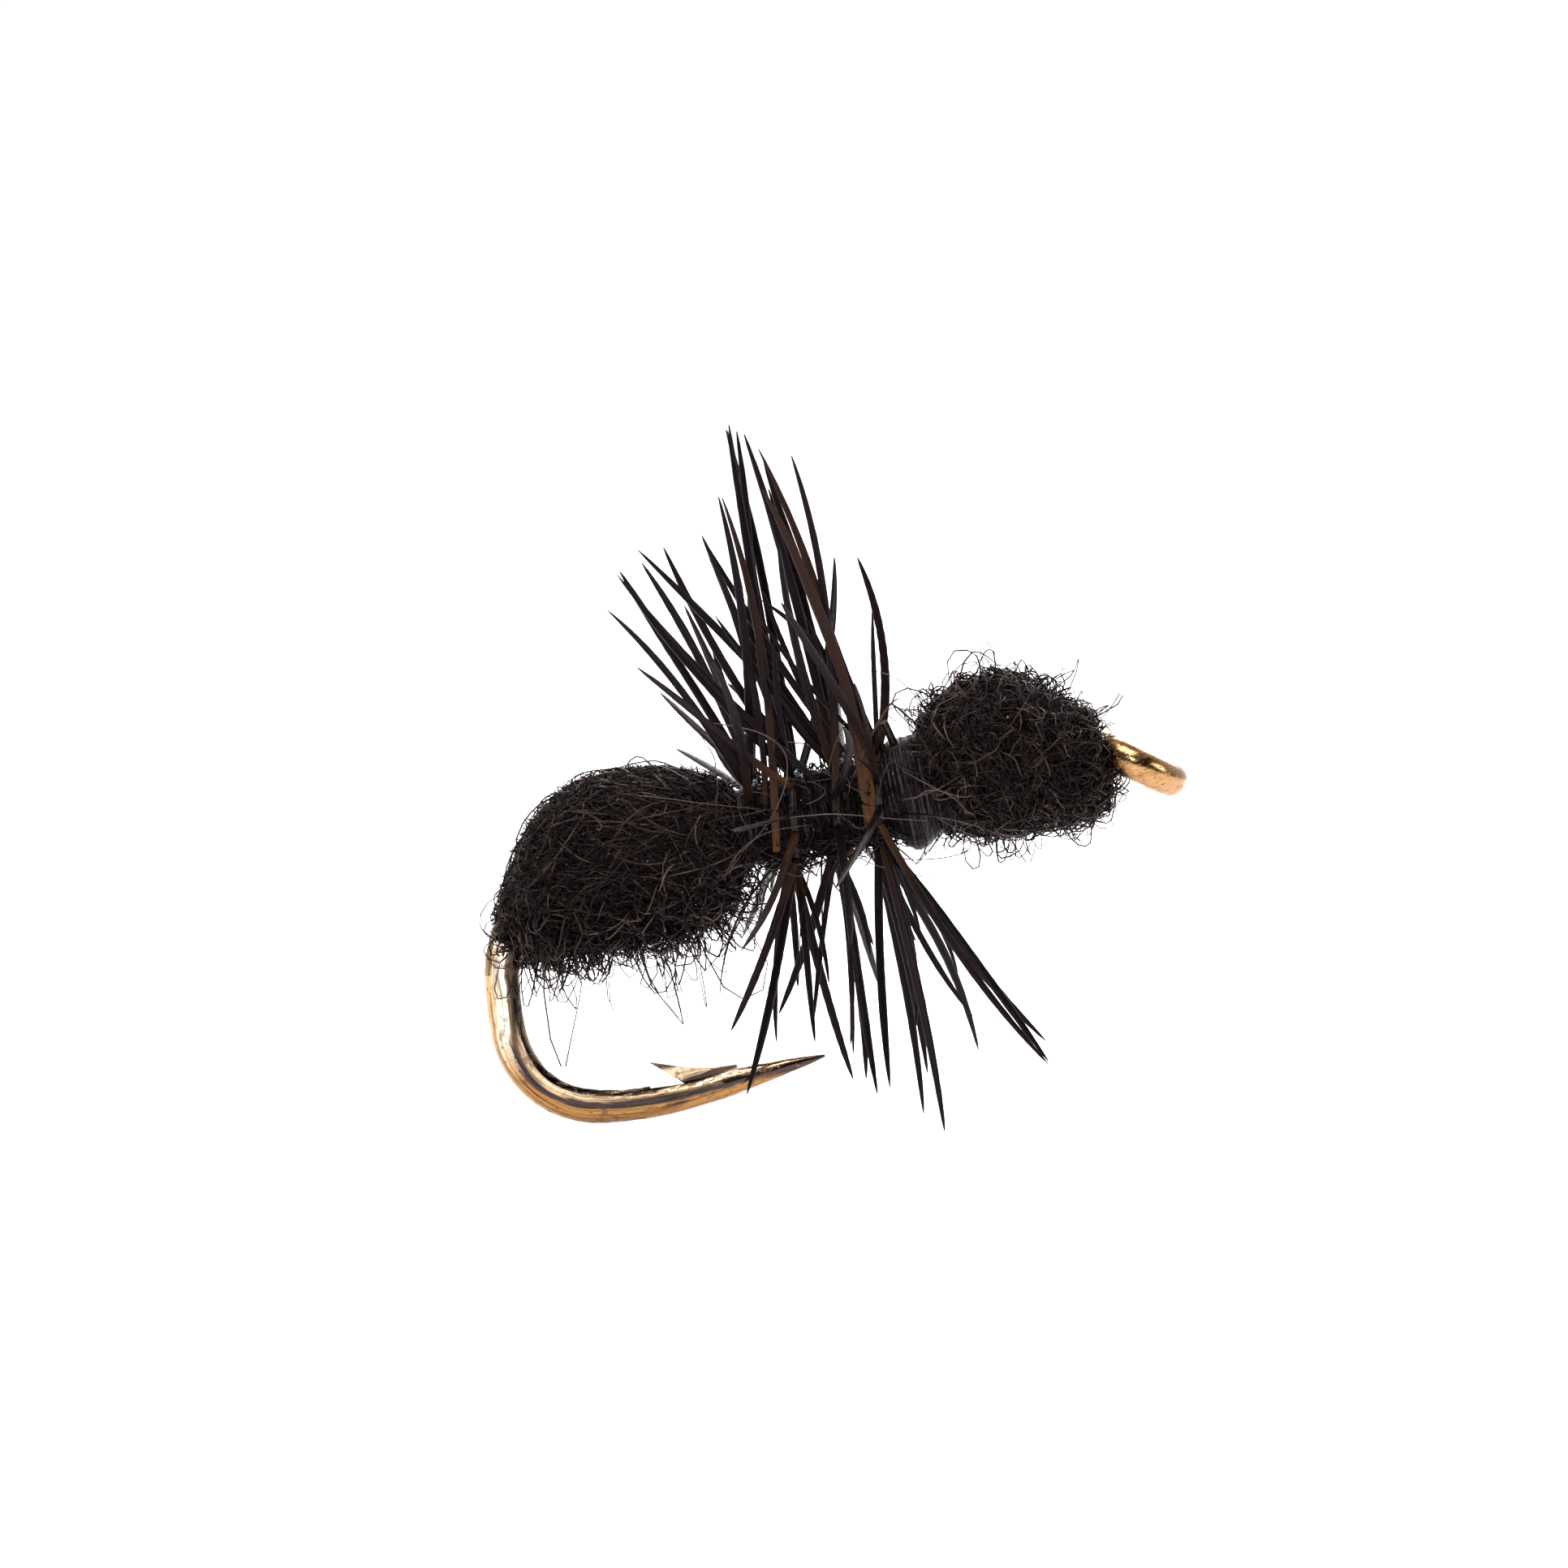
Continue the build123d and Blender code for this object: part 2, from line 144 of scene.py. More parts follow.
tent = bpy.data.worlds.new("light_tent")
tent.use_nodes = True
tree = tent.node_tree
tree.nodes.clear()
place = add(tree, "TexCoord")
apart = add(tree, "SeparateXYZ")
join(tree, place.outputs["Generated"], apart.inputs[0])
wall = add(tree, "MapRange", in_1=-1.0, in_2=1.0)
join(tree, apart.outputs["Y"], wall.inputs[0])
cloth = ramp(tree, [(0.0, (0.03, 0.03, 0.032)), (0.40, (0.10, 0.10, 0.105)),
                    (0.60, (0.75, 0.75, 0.76)), (1.0, (1.1, 1.1, 1.1))], wall.outputs[0])
glow = add(tree, "Background", Strength=0.95)
join(tree, cloth.outputs[0], glow.inputs[0])
shown = tree.nodes.new("ShaderNodeOutputWorld")
join(tree, glow.outputs[0], shown.inputs[0])
scene.world = tent

# Place, size and power of each softbox.
softboxes = {
    "top_softbox": ((-0.05, -0.07, 0.24), 0.15, 0.80),
    "left_softbox": ((-0.24, -0.08, 0.10), 0.12, 0.30),
    "right_softbox": ((0.22, -0.10, 0.12), 0.10, 0.26),
    "back_softbox": ((0.04, 0.22, 0.16), 0.16, 0.50),
    "small_front_light": ((-0.06, -0.24, 0.14), 0.02, 0.20),
}
for name, (spot, size, power) in softboxes.items():
    lamp_data = bpy.data.lights.new(name, "AREA")
    lamp_data.size = size
    lamp_data.energy = power
    lamp = bpy.data.objects.new(name, lamp_data)
    lamp.location = spot
    lamp.rotation_euler = (aim - Vector(spot)).to_track_quat("-Z", "Y").to_euler()
    scene.collection.objects.link(lamp)

# ----------------------------------------------------------
# The hook is one length of carbon steel wire, bent, forged flat through the bend, barbed
# and ground, then lacquered bronze. Painted into its colour along the wire are reflections:
# a pale cream painted highlight round the bend, and dark streaks of painted reflection where
# the dark surroundings would show in the metal. Round the eye the colour turns orange brown.
# ----------------------------------------------------------
bend_radius = 1.35 * MM
bend_middle = Vector((hook_low.x + 1.55 * MM, 0, hook_low.z + 1.55 * MM))
# Middle and radius of the arcs that the wire's middle line follows, in millimetres from the
# hook's rear and from the ground.
lower_bend = (1.248, 1.189, 0.99)
wide_heel = (1.316, 3.798, 3.60)
upper_bend = (1.459, 1.666, 1.26)
# A point on each straight run, and its climb in degrees.
spear_line = (2.278, 0.329, 15.5)
shank_line = (1.165, 2.891, 13.5)
eye_neck = 6.9
eye_ring = 7.1


def math(tree, work, first, second=None):
    """A Math node on two sockets or plain numbers, as its output socket."""
    node = tree.nodes.new("ShaderNodeMath")
    node.operation = work
    for number, value in enumerate((first, second)):
        if value is None:
            continue
        if isinstance(value, (int, float)):
            node.inputs[number].default_value = value
        else:
            tree.links.new(value, node.inputs[number])
    return node.outputs[0]


def blend(tree, factor, first, second, way="MIX"):
    """A colour Mix node: first where the factor is 0, second where it is 1."""
    node = add(tree, "Mix", data_type="RGBA", blend_type=way)
    for socket, value in ((0, factor), (6, first), (7, second)):
        if isinstance(value, (int, float)):
            node.inputs[socket].default_value = value
        elif isinstance(value, tuple):
            node.inputs[socket].default_value = (*value, 1)
        else:
            tree.links.new(value, node.inputs[socket])
    return node.outputs[2]


def new_group(name, inputs, outputs):
    """A node group with those float or vector sockets, and its in and out nodes."""
    kinds = {"float": "NodeSocketFloat", "vector": "NodeSocketVector"}
    group = bpy.data.node_groups.new(name, "ShaderNodeTree")
    for socket, kind, value in inputs:
        made = group.interface.new_socket(socket, in_out="INPUT", socket_type=kinds[kind])
        if value is not None:
            made.default_value = value
    for socket, kind in outputs:
        group.interface.new_socket(socket, in_out="OUTPUT", socket_type=kinds[kind])
    return group, group.nodes.new("NodeGroupInput"), group.nodes.new("NodeGroupOutput")


def from_to(tree, value, low, high, **more):
    """Runs from 0 to 1 as the value goes from low to high."""
    node = add(tree, "MapRange", in_1=low, in_2=high, **more)
    join(tree, value, node.inputs[0])
    return node.outputs[0]


def roughen(tree, skin, height, strength, distance):
    """A Bump node of that strength and distance in millimetres, on the shader's normal."""
    bump = add(tree, "Bump", Strength=strength, Distance=distance * MM)
    join(tree, height, bump.inputs["Height"])
    join(tree, bump.outputs[0], skin.inputs["Normal"])


bronze_with_painted_reflections, tree, skin = start_material("bronzed_wire", Metallic=1.0, Coat_Weight=0.25,
                                     Coat_Roughness=0.12)
place = add(tree, "TexCoord")
apart = add(tree, "SeparateXYZ")
join(tree, place.outputs["Object"], apart.inputs[0])
# Lines that follow the wire: gap is the distance outside its middle line, which runs along
# the spear, round the bend's three arcs and along the shank.
flat_place = add(tree, "CombineXYZ")
join(tree, apart.outputs["X"], flat_place.inputs[0])
join(tree, apart.outputs["Z"], flat_place.inputs[2])


def outside_arc(middle_x, middle_z, radius):
    """Distance outside an arc: distance from its middle, less its radius."""
    apart_by = add(tree, "VectorMath", operation="DISTANCE")
    join(tree, flat_place.outputs[0], apart_by.inputs[0])
    apart_by.inputs[1].default_value = (hook_low.x + middle_x * MM, 0, middle_z * MM)
    return math(tree, "SUBTRACT", apart_by.outputs["Value"], radius * MM)


def outside_line(start_x, start_z, slope):
    """Distance under a straight line through that point: on * sin slope - up * cos slope."""
    up = math(tree, "SUBTRACT", apart.outputs["Z"], start_z * MM)
    on = math(tree, "SUBTRACT", apart.outputs["X"], hook_low.x + start_x * MM)
    return math(tree, "SUBTRACT", math(tree, "MULTIPLY", on, sin(radians(slope))),
                math(tree, "MULTIPLY", up, cos(radians(slope))))


def between(first, second, axis, start, end):
    """Goes from one distance to the other as the axis runs from start to end millimetres."""
    origin = hook_low.x if axis == "X" else 0.0
    mix = add(tree, "Mix", data_type="FLOAT")
    join(tree, from_to(tree, apart.outputs[axis], origin + start * MM, origin + end * MM),
         mix.inputs[0])
    join(tree, first, mix.inputs[2])
    join(tree, second, mix.inputs[3])
    return mix.outputs[0]


lower_gap = between(outside_arc(*lower_bend), outside_arc(*wide_heel), "X", 1.14, 1.30)
lower_gap = between(lower_gap, outside_line(*spear_line), "X", 2.19, 2.37)
above_shank = math(tree, "MULTIPLY", outside_line(*shank_line), -1.0)
upper_gap = between(outside_arc(*upper_bend), above_shank, "X", 1.35, 1.57)
gap = between(lower_gap, upper_gap, "Z", 0.96, 1.65)
across = math(tree, "ADD", gap, bend_radius)
right = math(tree, "SUBTRACT", apart.outputs["X"], bend_middle.x)
left = math(tree, "MINIMUM", right, 0.0)
rise = math(tree, "SUBTRACT", apart.outputs["Z"], bend_middle.z)
turned = math(tree, "ARCTAN2", rise, math(tree, "MULTIPLY", left, -1.0))
onward = math(tree, "MULTIPLY", math(tree, "MAXIMUM", right, 0.0), math(tree, "SIGN", rise))
along = math(tree, "ADD", math(tree, "MULTIPLY", turned, bend_radius), onward)
wire_place = add(tree, "CombineXYZ")
join(tree, across, wire_place.inputs[0])
join(tree, along, wire_place.inputs[1])
join(tree, apart.outputs["Y"], wire_place.inputs[2])


def streaks(tree, place, size, lengthways, detail, seed):
    """Noise drawn out along the wire: the second coordinate counts lengthways times less.
    size is the number of its cells in a millimetre across the wire."""
    scaled = add(tree, "Mapping")
    scaled.inputs["Scale"].default_value = (1000, 1000 * lengthways, 1000)
    scaled.inputs["Location"].default_value = (seed, seed, seed)
    tree.links.new(place, scaled.inputs["Vector"])
    noise = add(tree, "TexNoise", Scale=size, Detail=detail, Roughness=0.6)
    tree.links.new(scaled.outputs[0], noise.inputs["Vector"])
    return noise.outputs[0]


broad = streaks(tree, wire_place.outputs[0], 5.0, 0.16, 3.0, 3.1)
fine = streaks(tree, wire_place.outputs[0], 22.0, 0.05, 6.0, 7.7)
spots = streaks(tree, wire_place.outputs[0], 8.0, 0.7, 5.0, 1.3)
flecks = streaks(tree, wire_place.outputs[0], 38.0, 0.35, 2.0, 5.5)
# Bands lie along the wire, from the inner side to the outer, with ragged edges. Down the
# back of the bend they are tan lacquer, a dark band of painted reflection, a cream painted
# highlight and tan. Under it and along the spear they are a dark edge, pale golden painted
# highlights split by dark lines of painted reflection, one of them also a crack in the
# lacquer, and orange lacquer.
band = from_to(tree, across, bend_radius - 0.35 * MM, bend_radius + 0.20 * MM, clamp=False)
ragged = math(tree, "ADD", math(tree, "MULTIPLY", broad, 0.42),
              math(tree, "MULTIPLY", fine, 0.26))
ragged = math(tree, "ADD", band, math(tree, "SUBTRACT", ragged, 0.34))
# Both ramps paint reflections into the colour: their near-black stops are painted dark
# reflections of the surroundings, and their cream and pale golden stops are painted highlights.
# The tan, golden and orange stops are the lacquer's own colour.
upper_bands_and_reflections = ramp(tree, [(0.00, (0.34, 0.22, 0.11)), (0.27, (0.44, 0.28, 0.12)),
                    (0.32, (0.030, 0.018, 0.013)), (0.56, (0.045, 0.028, 0.020)),
                    (0.64, (0.20, 0.125, 0.07)), (0.68, (0.92, 0.80, 0.66)),
                    (0.80, (0.86, 0.68, 0.50)), (0.87, (0.42, 0.26, 0.125)),
                    (1.00, (0.40, 0.235, 0.10))], ragged)
lower_bands_and_reflections = ramp(tree, [(0.00, (0.10, 0.058, 0.036)), (0.10, (0.50, 0.37, 0.25)),
                    (0.23, (0.56, 0.40, 0.25)), (0.27, (0.030, 0.018, 0.013)),
                    (0.37, (0.060, 0.034, 0.024)), (0.41, (0.74, 0.56, 0.38)),
                    (0.54, (0.56, 0.38, 0.22)), (0.59, (0.040, 0.025, 0.024)),
                    (0.70, (0.055, 0.033, 0.030)), (0.75, (0.34, 0.165, 0.048)),
                    (1.00, (0.27, 0.130, 0.036))], ragged)
# The turn round the bend, in radians below its middle, over which the bands change.
lacquer_and_painted_reflections = blend(tree, from_to(tree, turned, -0.75, -0.30), lower_bands_and_reflections.outputs[0], upper_bands_and_reflections.outputs[0])
pale = ramp(tree, [(0.38, (0.30, 0.24, 0.20)), (0.50, (1.0, 1.0, 1.0))], fine)
colour = blend(tree, 1.0, lacquer_and_painted_reflections, pale.outputs[0], "MULTIPLY")
patches = ramp(tree, [(0.58, (0, 0, 0)), (0.63, (1, 1, 1))], spots)
colour = blend(tree, math(tree, "MULTIPLY", patches.outputs[0], 0.5), colour,
               (0.10, 0.050, 0.022))
amber = ramp(tree, [(0.68, (0, 0, 0)), (0.73, (1, 1, 1))], spots)
colour = blend(tree, math(tree, "MULTIPLY", amber.outputs[0], 0.7), colour, (0.50, 0.22, 0.05))
at_eye = from_to(tree, apart.outputs["X"], hook_low.x + eye_neck * MM,
                 hook_low.x + eye_ring * MM)
colour = blend(tree, math(tree, "MULTIPLY", at_eye, 0.62), colour, (0.34, 0.165, 0.060))
worn = ramp(tree, [(0.64, (0, 0, 0)), (0.68, (1, 1, 1))], flecks)
colour = blend(tree, math(tree, "MULTIPLY", worn.outputs[0], 0.8), colour, (0.035, 0.02, 0.014))
join(tree, colour, skin.inputs["Base Color"])
dull = ramp(tree, [(0.35, (0.12, 0.12, 0.12)), (0.75, (0.34, 0.34, 0.34))], fine)
join(tree, blend(tree, patches.outputs[0], dull.outputs[0], (0.36, 0.36, 0.36)),
     skin.inputs["Roughness"])
relief = math(tree, "SUBTRACT", math(tree, "MULTIPLY", fine, 0.7), worn.outputs[0])
relief = math(tree, "ADD", relief, math(tree, "MULTIPLY", patches.outputs[0], 0.4))
roughen(tree, skin, relief, 0.5, 0.010)


def finish_node(name, material):
    """Gives a CAD node this material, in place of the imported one."""
    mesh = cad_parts[name].data
    mesh.materials.clear()
    mesh.materials.append(material)


finish_node("hook", bronze_with_painted_reflections)

# ----------------------------------------------------------
# Black tying thread is a flat bundle of silky filaments. It is laid on the wire as a base,
# built up into a seat for the hackle, and wound into the waists behind and before it. Each
# band is its dark CAD core with the filaments that show wound over it.
# ----------------------------------------------------------
chance = np.random.default_rng(11)
base_low, base_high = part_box("thread_base")
base_middle = (np.array(base_low) + np.array(base_high)) / 2 / MM
nose_up = radians(13.5)
base_station = 2.835
full_turn = (0, 2 * np.pi)


def in_frame(station, across, up):
    """Points of the hook's own frame, in millimetres along the shank, across and up from it,
    turned nose up about the middle of the thread base: x = ahead * cos - up * sin, and
    z = ahead * sin + up * cos."""
    ahead = station - base_station
    return np.stack([base_middle[0] + ahead * np.cos(nose_up) - up * np.sin(nose_up),
                     across,
                     base_middle[2] + ahead * np.sin(nose_up) + up * np.cos(nose_up)], axis=-1)


def put(name, points, faces, material, smooth=True, marks=None, flat_map=None):
    """A mesh piece that rides on the only body. points are in millimetres, and faces are
    arrays of corner numbers, all of one length in each array. marks are float attributes of
    the points, and flat_map holds one UV pair for each corner."""
    mesh = bpy.data.meshes.new(name)
    corners = np.concatenate([np.asarray(part).ravel() for part in faces]).astype(np.int32)
    counts = np.concatenate([np.full(len(part), part.shape[1]) for part in faces])
    starts = np.concatenate([[0], np.cumsum(counts)[:-1]]).astype(np.int32)
    mesh.vertices.add(len(points))
    mesh.loops.add(len(corners))
    mesh.polygons.add(len(counts))
    mesh.vertices.foreach_set("co", (points * MM).astype(np.float32).ravel())
    mesh.loops.foreach_set("vertex_index", corners)
    mesh.polygons.foreach_set("loop_start", starts)
    mesh.update(calc_edges=True)
    mesh.polygons.foreach_set("use_smooth", np.full(len(counts), smooth))
    for mark, values in (marks or {}).items():
        layer = mesh.attributes.new(mark, "FLOAT", "POINT")
        layer.data.foreach_set("value", np.asarray(values, np.float32).ravel())
    if flat_map is not None:
        layer = mesh.uv_layers.new(name="OFBake")
        layer.uv.foreach_set("vector", np.asarray(flat_map, np.float32).ravel())
    mesh.materials.append(material)
    piece = bpy.data.objects.new(name, mesh)
    scene.collection.objects.link(piece)
    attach(piece, "root")
    return piece


rear_limit = hook_low.x / MM - 0.03
drawn_in = 0.65
island_rim = 0.08


def tubes(name, paths, thick, material, tone=None, sides=3, tip=0.35):
    """Many fine fibres as one piece. paths is fibres x points x 3, thick their radii. Each
    point carries a ring of corners square to the path, of radius
    thick * (1 - (1 - tip) * share^3), and both ends are closed. Hairs that stand out behind
    the bend are drawn in towards it."""
    count, steps, _ = paths.shape
    over = np.minimum(paths[..., 0] - rear_limit, 0)
    paths = paths - np.stack([over * drawn_in, 0 * over, 0 * over], axis=-1)
    heading = np.gradient(paths, axis=1)
    heading /= np.linalg.norm(heading, axis=2, keepdims=True) + 1e-9
    aside = chance.normal(size=(count, 1, 3))
    aside = aside - heading * np.sum(aside * heading, axis=2, keepdims=True)
    aside /= np.linalg.norm(aside, axis=2, keepdims=True) + 1e-9
    above = np.cross(heading, aside)
    share = np.linspace(0, 1, steps)[None, :]
    radius = np.asarray(thick).reshape(-1, 1) * (1 - (1 - tip) * share ** 3)
    turn = 2 * np.pi * np.arange(sides) / sides
    ring = (aside[:, :, None] * np.cos(turn)[:, None]
            + above[:, :, None] * np.sin(turn)[:, None])
    points = paths[:, :, None] + ring * radius[:, :, None, None]
    number = np.arange(count * steps * sides).reshape(count, steps, sides)
    after = np.roll(number, -1, axis=2)
    walls = np.stack([number[:, :-1], after[:, :-1], after[:, 1:], number[:, 1:]], axis=-1)
    ends = [number[:, 0, ::-1], number[:, -1, :]]
    if tone is None:
        tone = chance.random(count)
    tones = np.broadcast_to(np.asarray(tone).reshape(-1, 1, 1), number.shape)
    cells = int(np.ceil(np.sqrt(count)))
    cell = np.stack([np.arange(count) % cells, np.arange(count) // cells], axis=-1) / cells
    wide = (np.arange(sides)[:, None] + np.array([0, 1, 1, 0])) / sides
    tall = (np.arange(steps - 1)[:, None] + np.array([0, 0, 1, 1])) / (steps - 1)
    square = np.stack(np.broadcast_arrays(wide[None], tall[:, None]), axis=-1)
    inner = 1 - 2 * island_rim
    wall_map = cell[:, None, None, None] + (island_rim + inner * square[None]) / cells
    cap_spot = np.stack([0.3 + 0.2 * np.cos(turn), 0.3 + 0.2 * np.sin(turn)], axis=-1)
    cap_map = cell[:, None] + (island_rim + inner * cap_spot[None]) / cells
    flat_map = np.concatenate([wall_map.reshape(-1, 2), cap_map.reshape(-1, 2),
                               cap_map.reshape(-1, 2)])
    return put(name, points.reshape(-1, 3), [walls.reshape(-1, 4), *ends], material,
               marks={"tone": tones}, flat_map=flat_map)


def wavy(count, steps, size, waves):
    """A smooth random wander of each fibre, fibres x points x 3: in each direction, two sine
    waves of random height, phase and number of waves."""
    share = np.linspace(0, 1, steps)[None, :, None]
    total = np.zeros((count, steps, 3))
    for octave in (1.0, 2.3):
        phase = chance.uniform(0, 2 * np.pi, (count, 1, 3))
        pace = chance.uniform(0.6, 1.4, (count, 1, 3)) * waves * octave
        height = chance.normal(size=(count, 1, 3))
        total += height * np.sin(2 * np.pi * pace * share + phase) / octave
    return total * size * 0.6


silk, tree, skin = start_material("tying_thread", Specular_IOR_Level=0.09,
                                  Specular_Tint=(0.90, 0.72, 0.80, 1))
grain_group, grain_in, grain_out = new_group(
    "fibre_grain", [("Place", "vector", None), ("Scale", "float", 60000.0)],
    [("Grain", "float"), ("Mottle", "float")])
fine = add(grain_group, "TexNoise", Detail=3.0, Roughness=0.6)
join(grain_group, grain_in.outputs["Place"], fine.inputs["Vector"])
join(grain_group, grain_in.outputs["Scale"], fine.inputs["Scale"])
join(grain_group, fine.outputs[0], grain_out.inputs["Grain"])
coarse = add(grain_group, "TexNoise", Scale=2500.0, Detail=4.0)
join(grain_group, grain_in.outputs["Place"], coarse.inputs["Vector"])
join(grain_group, coarse.outputs[0], grain_out.inputs["Mottle"])


def grain_on(tree, **values):
    """The fibre grain on a piece's own coordinates, with those values in its sockets."""
    node = tree.nodes.new("ShaderNodeGroup")
    node.node_tree = grain_group
    for name, value in values.items():
        node.inputs[name].default_value = value
    join(tree, add(tree, "TexCoord").outputs["Object"], node.inputs["Place"])
    return node


def polish(tree, skin, grain, *stops):
    """Roughness from the grain, through (place, roughness) stops."""
    shine = ramp(tree, [(at, (rough,) * 3) for at, rough in stops], grain.outputs["Grain"])
    join(tree, shine.outputs[0], skin.inputs["Roughness"])


grain = grain_on(tree)
tone = add(tree, "Attribute", attribute_name="tone")
mixed = math(tree, "ADD", math(tree, "MULTIPLY", tone.outputs["Fac"], 0.7),
             math(tree, "MULTIPLY", grain.outputs["Mottle"], 0.3))
tint(tree, skin, [(0.20, (0.0006, 0.0004, 0.0004)), (0.55, (0.0020, 0.0012, 0.0011)),
                  (0.68, (0.0120, 0.0085, 0.0095)), (0.85, (0.055, 0.043, 0.050))], mixed)
polish(tree, skin, grain, (0.3, 0.26), (0.8, 0.46))
roughen(tree, skin, grain.outputs["Grain"], 0.4, 0.003)


def wind(name, count, start, end, radius, length, thick, lay=0.02, steps=12, lump=None):
    """Filaments wound round the shank. At clock angle a, a filament's point lies across by
    radius(station) * sin a and up by radius(station) * cos a. Along it a grows by
    length / radius, and its station drifts by lay."""
    share = np.linspace(0, 1, steps)[None, :]
    first = chance.uniform(0, 2 * np.pi, (count, 1))
    span = length * chance.uniform(0.5, 1.2, (count, 1))
    station = chance.uniform(start, end, (count, 1))
    drift = chance.normal(0, lay, (count, 1)) + 0.02
    stations = np.clip(station + drift * (share - 0.5), start, end)
    around = radius(stations)
    clock = first + share * span / around
    if lump is not None:
        around = around + lump(stations, clock)
    around = around + chance.uniform(-0.022, 0.018, (count, 1))
    paths = in_frame(stations, around * np.sin(clock), around * np.cos(clock))
    paths = paths + wavy(count, steps, 0.004, 1.0)
    return tubes(name, paths, chance.uniform(0.7, 1.3, count) * thick, silk,
                 tip=0.8)


for band in ("thread_base", "rear_waist_wraps", "hackle_seat_wraps", "front_waist_wraps",
             "whip_finish"):
    finish_node(band, silk)


seat_radius = 0.42
whip_radius = 0.312


def front_waist(station):
    """Climbs from the hackle seat to the waist's shoulder, dips, and swells under the head."""
    return np.interp(station, [3.40, 3.52, 3.62, 3.74, 3.95, 4.20],
                     [seat_radius, 0.52, 0.565, 0.56, 0.53, 0.60])


def gathered_lump(station, clock):
    """Trimmed ends make a soft lump under the wraps, on the underside by the hackle: a bell
    curve of the clock angle about straight down, times one of the station."""
    below = np.exp(-((np.mod(clock, 2 * np.pi) - np.pi) / 0.85) ** 2)
    return 0.12 * below * np.exp(-((station - 3.68) / 0.20) ** 2)


wind("front_waist_filaments", 2600, 3.40, 4.20, front_waist, length=1.3, thick=0.0105,
     lump=gathered_lump)
wind("rear_waist_filaments", 1100, 1.50, 1.92, lambda s: 0.40 + 0.45 * np.abs(s - 1.82),
     length=1.1, thick=0.0095)
wind("seat_filaments", 1300, 1.86, 3.60, lambda s: seat_radius + 0 * s, length=1.3,
     thick=0.012, lay=0.05)
wind("whip_finish_filaments", 320, 5.31, 5.61, lambda s: whip_radius + 0 * s, length=1.2,
     thick=0.011)

# ----------------------------------------------------------
# Clear head cement is brushed over the whip finish at the eye. It has run into the thread
# and dried to a glossy amber film.
# ----------------------------------------------------------
varnish, tree, skin = start_material("head_cement", Roughness=0.08, Coat_Weight=0.8,
                                     Coat_Roughness=0.05)
place = add(tree, "TexCoord")
runs = add(tree, "TexNoise", Scale=3500.0, Detail=3.0)
join(tree, place.outputs["Object"], runs.inputs["Vector"])
tint(tree, skin, [(0.3, (0.05, 0.018, 0.006)), (0.7, (0.20, 0.085, 0.02))], runs.outputs[0])
roughen(tree, skin, runs.outputs[0], 0.3, 0.01)
finish_node("head_cement", varnish)

# ----------------------------------------------------------
# The abdomen is dyed seal-brown fur, twisted on waxed thread and wound into a fat ball. Its
# fibres lie wrapped round the ball, cross each other, and stand off it in small loops and
# curled tips. A dense matted core carries them.
# ----------------------------------------------------------
fur_hair, tree, skin = start_material("dyed_fur", Specular_IOR_Level=0.16,
                                      Specular_Tint=(1.0, 0.76, 0.76, 1))
grain = grain_on(tree)
tone = add(tree, "Attribute", attribute_name="tone")
mixed = math(tree, "ADD", math(tree, "MULTIPLY", tone.outputs["Fac"], 0.8),
             math(tree, "MULTIPLY", grain.outputs["Mottle"], 0.2))
tint(tree, skin, [(0.10, (0.0006, 0.0004, 0.0004)), (0.42, (0.0018, 0.0010, 0.0009)),
                  (0.58, (0.014, 0.0080, 0.0075)), (0.80, (0.068, 0.044, 0.042))], mixed)
polish(tree, skin, grain, (0.3, 0.24), (0.8, 0.42))

# This near-black material also dresses the hackle web. There its darkness is partly the web's
# own colour and partly painted shade in the hub among the barbs.
matted_fur_and_hub_shade, tree, skin = start_material("matted_fur_and_painted_shade", Roughness=0.9, Specular_IOR_Level=0.08)
grain = grain_on(tree, Scale=14000.0)
tint(tree, skin, [(0.30, (0.001, 0.001, 0.001)), (0.70, (0.005, 0.0032, 0.003))],
     grain.outputs["Grain"])
roughen(tree, skin, grain.outputs["Grain"], 0.9, 0.02)


def softened(rows, count, reach):
    """Columns of a few rows at count even places: linear between the rows, then averaged
    under a bell curve that reaches so many places to each side."""
    rows = np.array(rows)
    even = np.linspace(0, 1, count)
    run = np.linspace(0, 1, len(rows))
    bell = np.hanning(2 * reach + 1) / np.hanning(2 * reach + 1).sum()
    long = [np.pad(np.interp(even, run, column), reach, "reflect", reflect_type="odd")
            for column in rows.T]
    return even, [np.convolve(column, bell, "valid") for column in long]


def ball(u, v, shape):
    """Skin of a wound ball of fur. u runs 0 to 1 from its rear to its front and v is the clock
    angle: half width * sin v across, and middle + half height * cos v up."""
    even, lines = shape
    station, top, bottom, side = (np.interp(u, even, line) for line in lines)
    up = (top + bottom) / 2 + (top - bottom) / 2 * np.cos(v)
    return in_frame(station, side * np.sin(v), up)


def ball_frame(u, v, shape):
    """The skin's point, the lengths of its tangents along u and v, from points one step to
    each side, and its outward normal, their cross product."""
    step = 8e-3
    along = (ball(u + step, v, shape) - ball(u - step, v, shape)) / (2 * step)
    round_it = (ball(u, v + step, shape) - ball(u, v - step, shape)) / (2 * step)
    out = np.cross(along, round_it)
    out /= np.linalg.norm(out, axis=-1, keepdims=True) + 1e-12
    per_u, per_v = np.linalg.norm(along, axis=-1), np.linalg.norm(round_it, axis=-1)
    return ball(u, v, shape), per_u, per_v, out


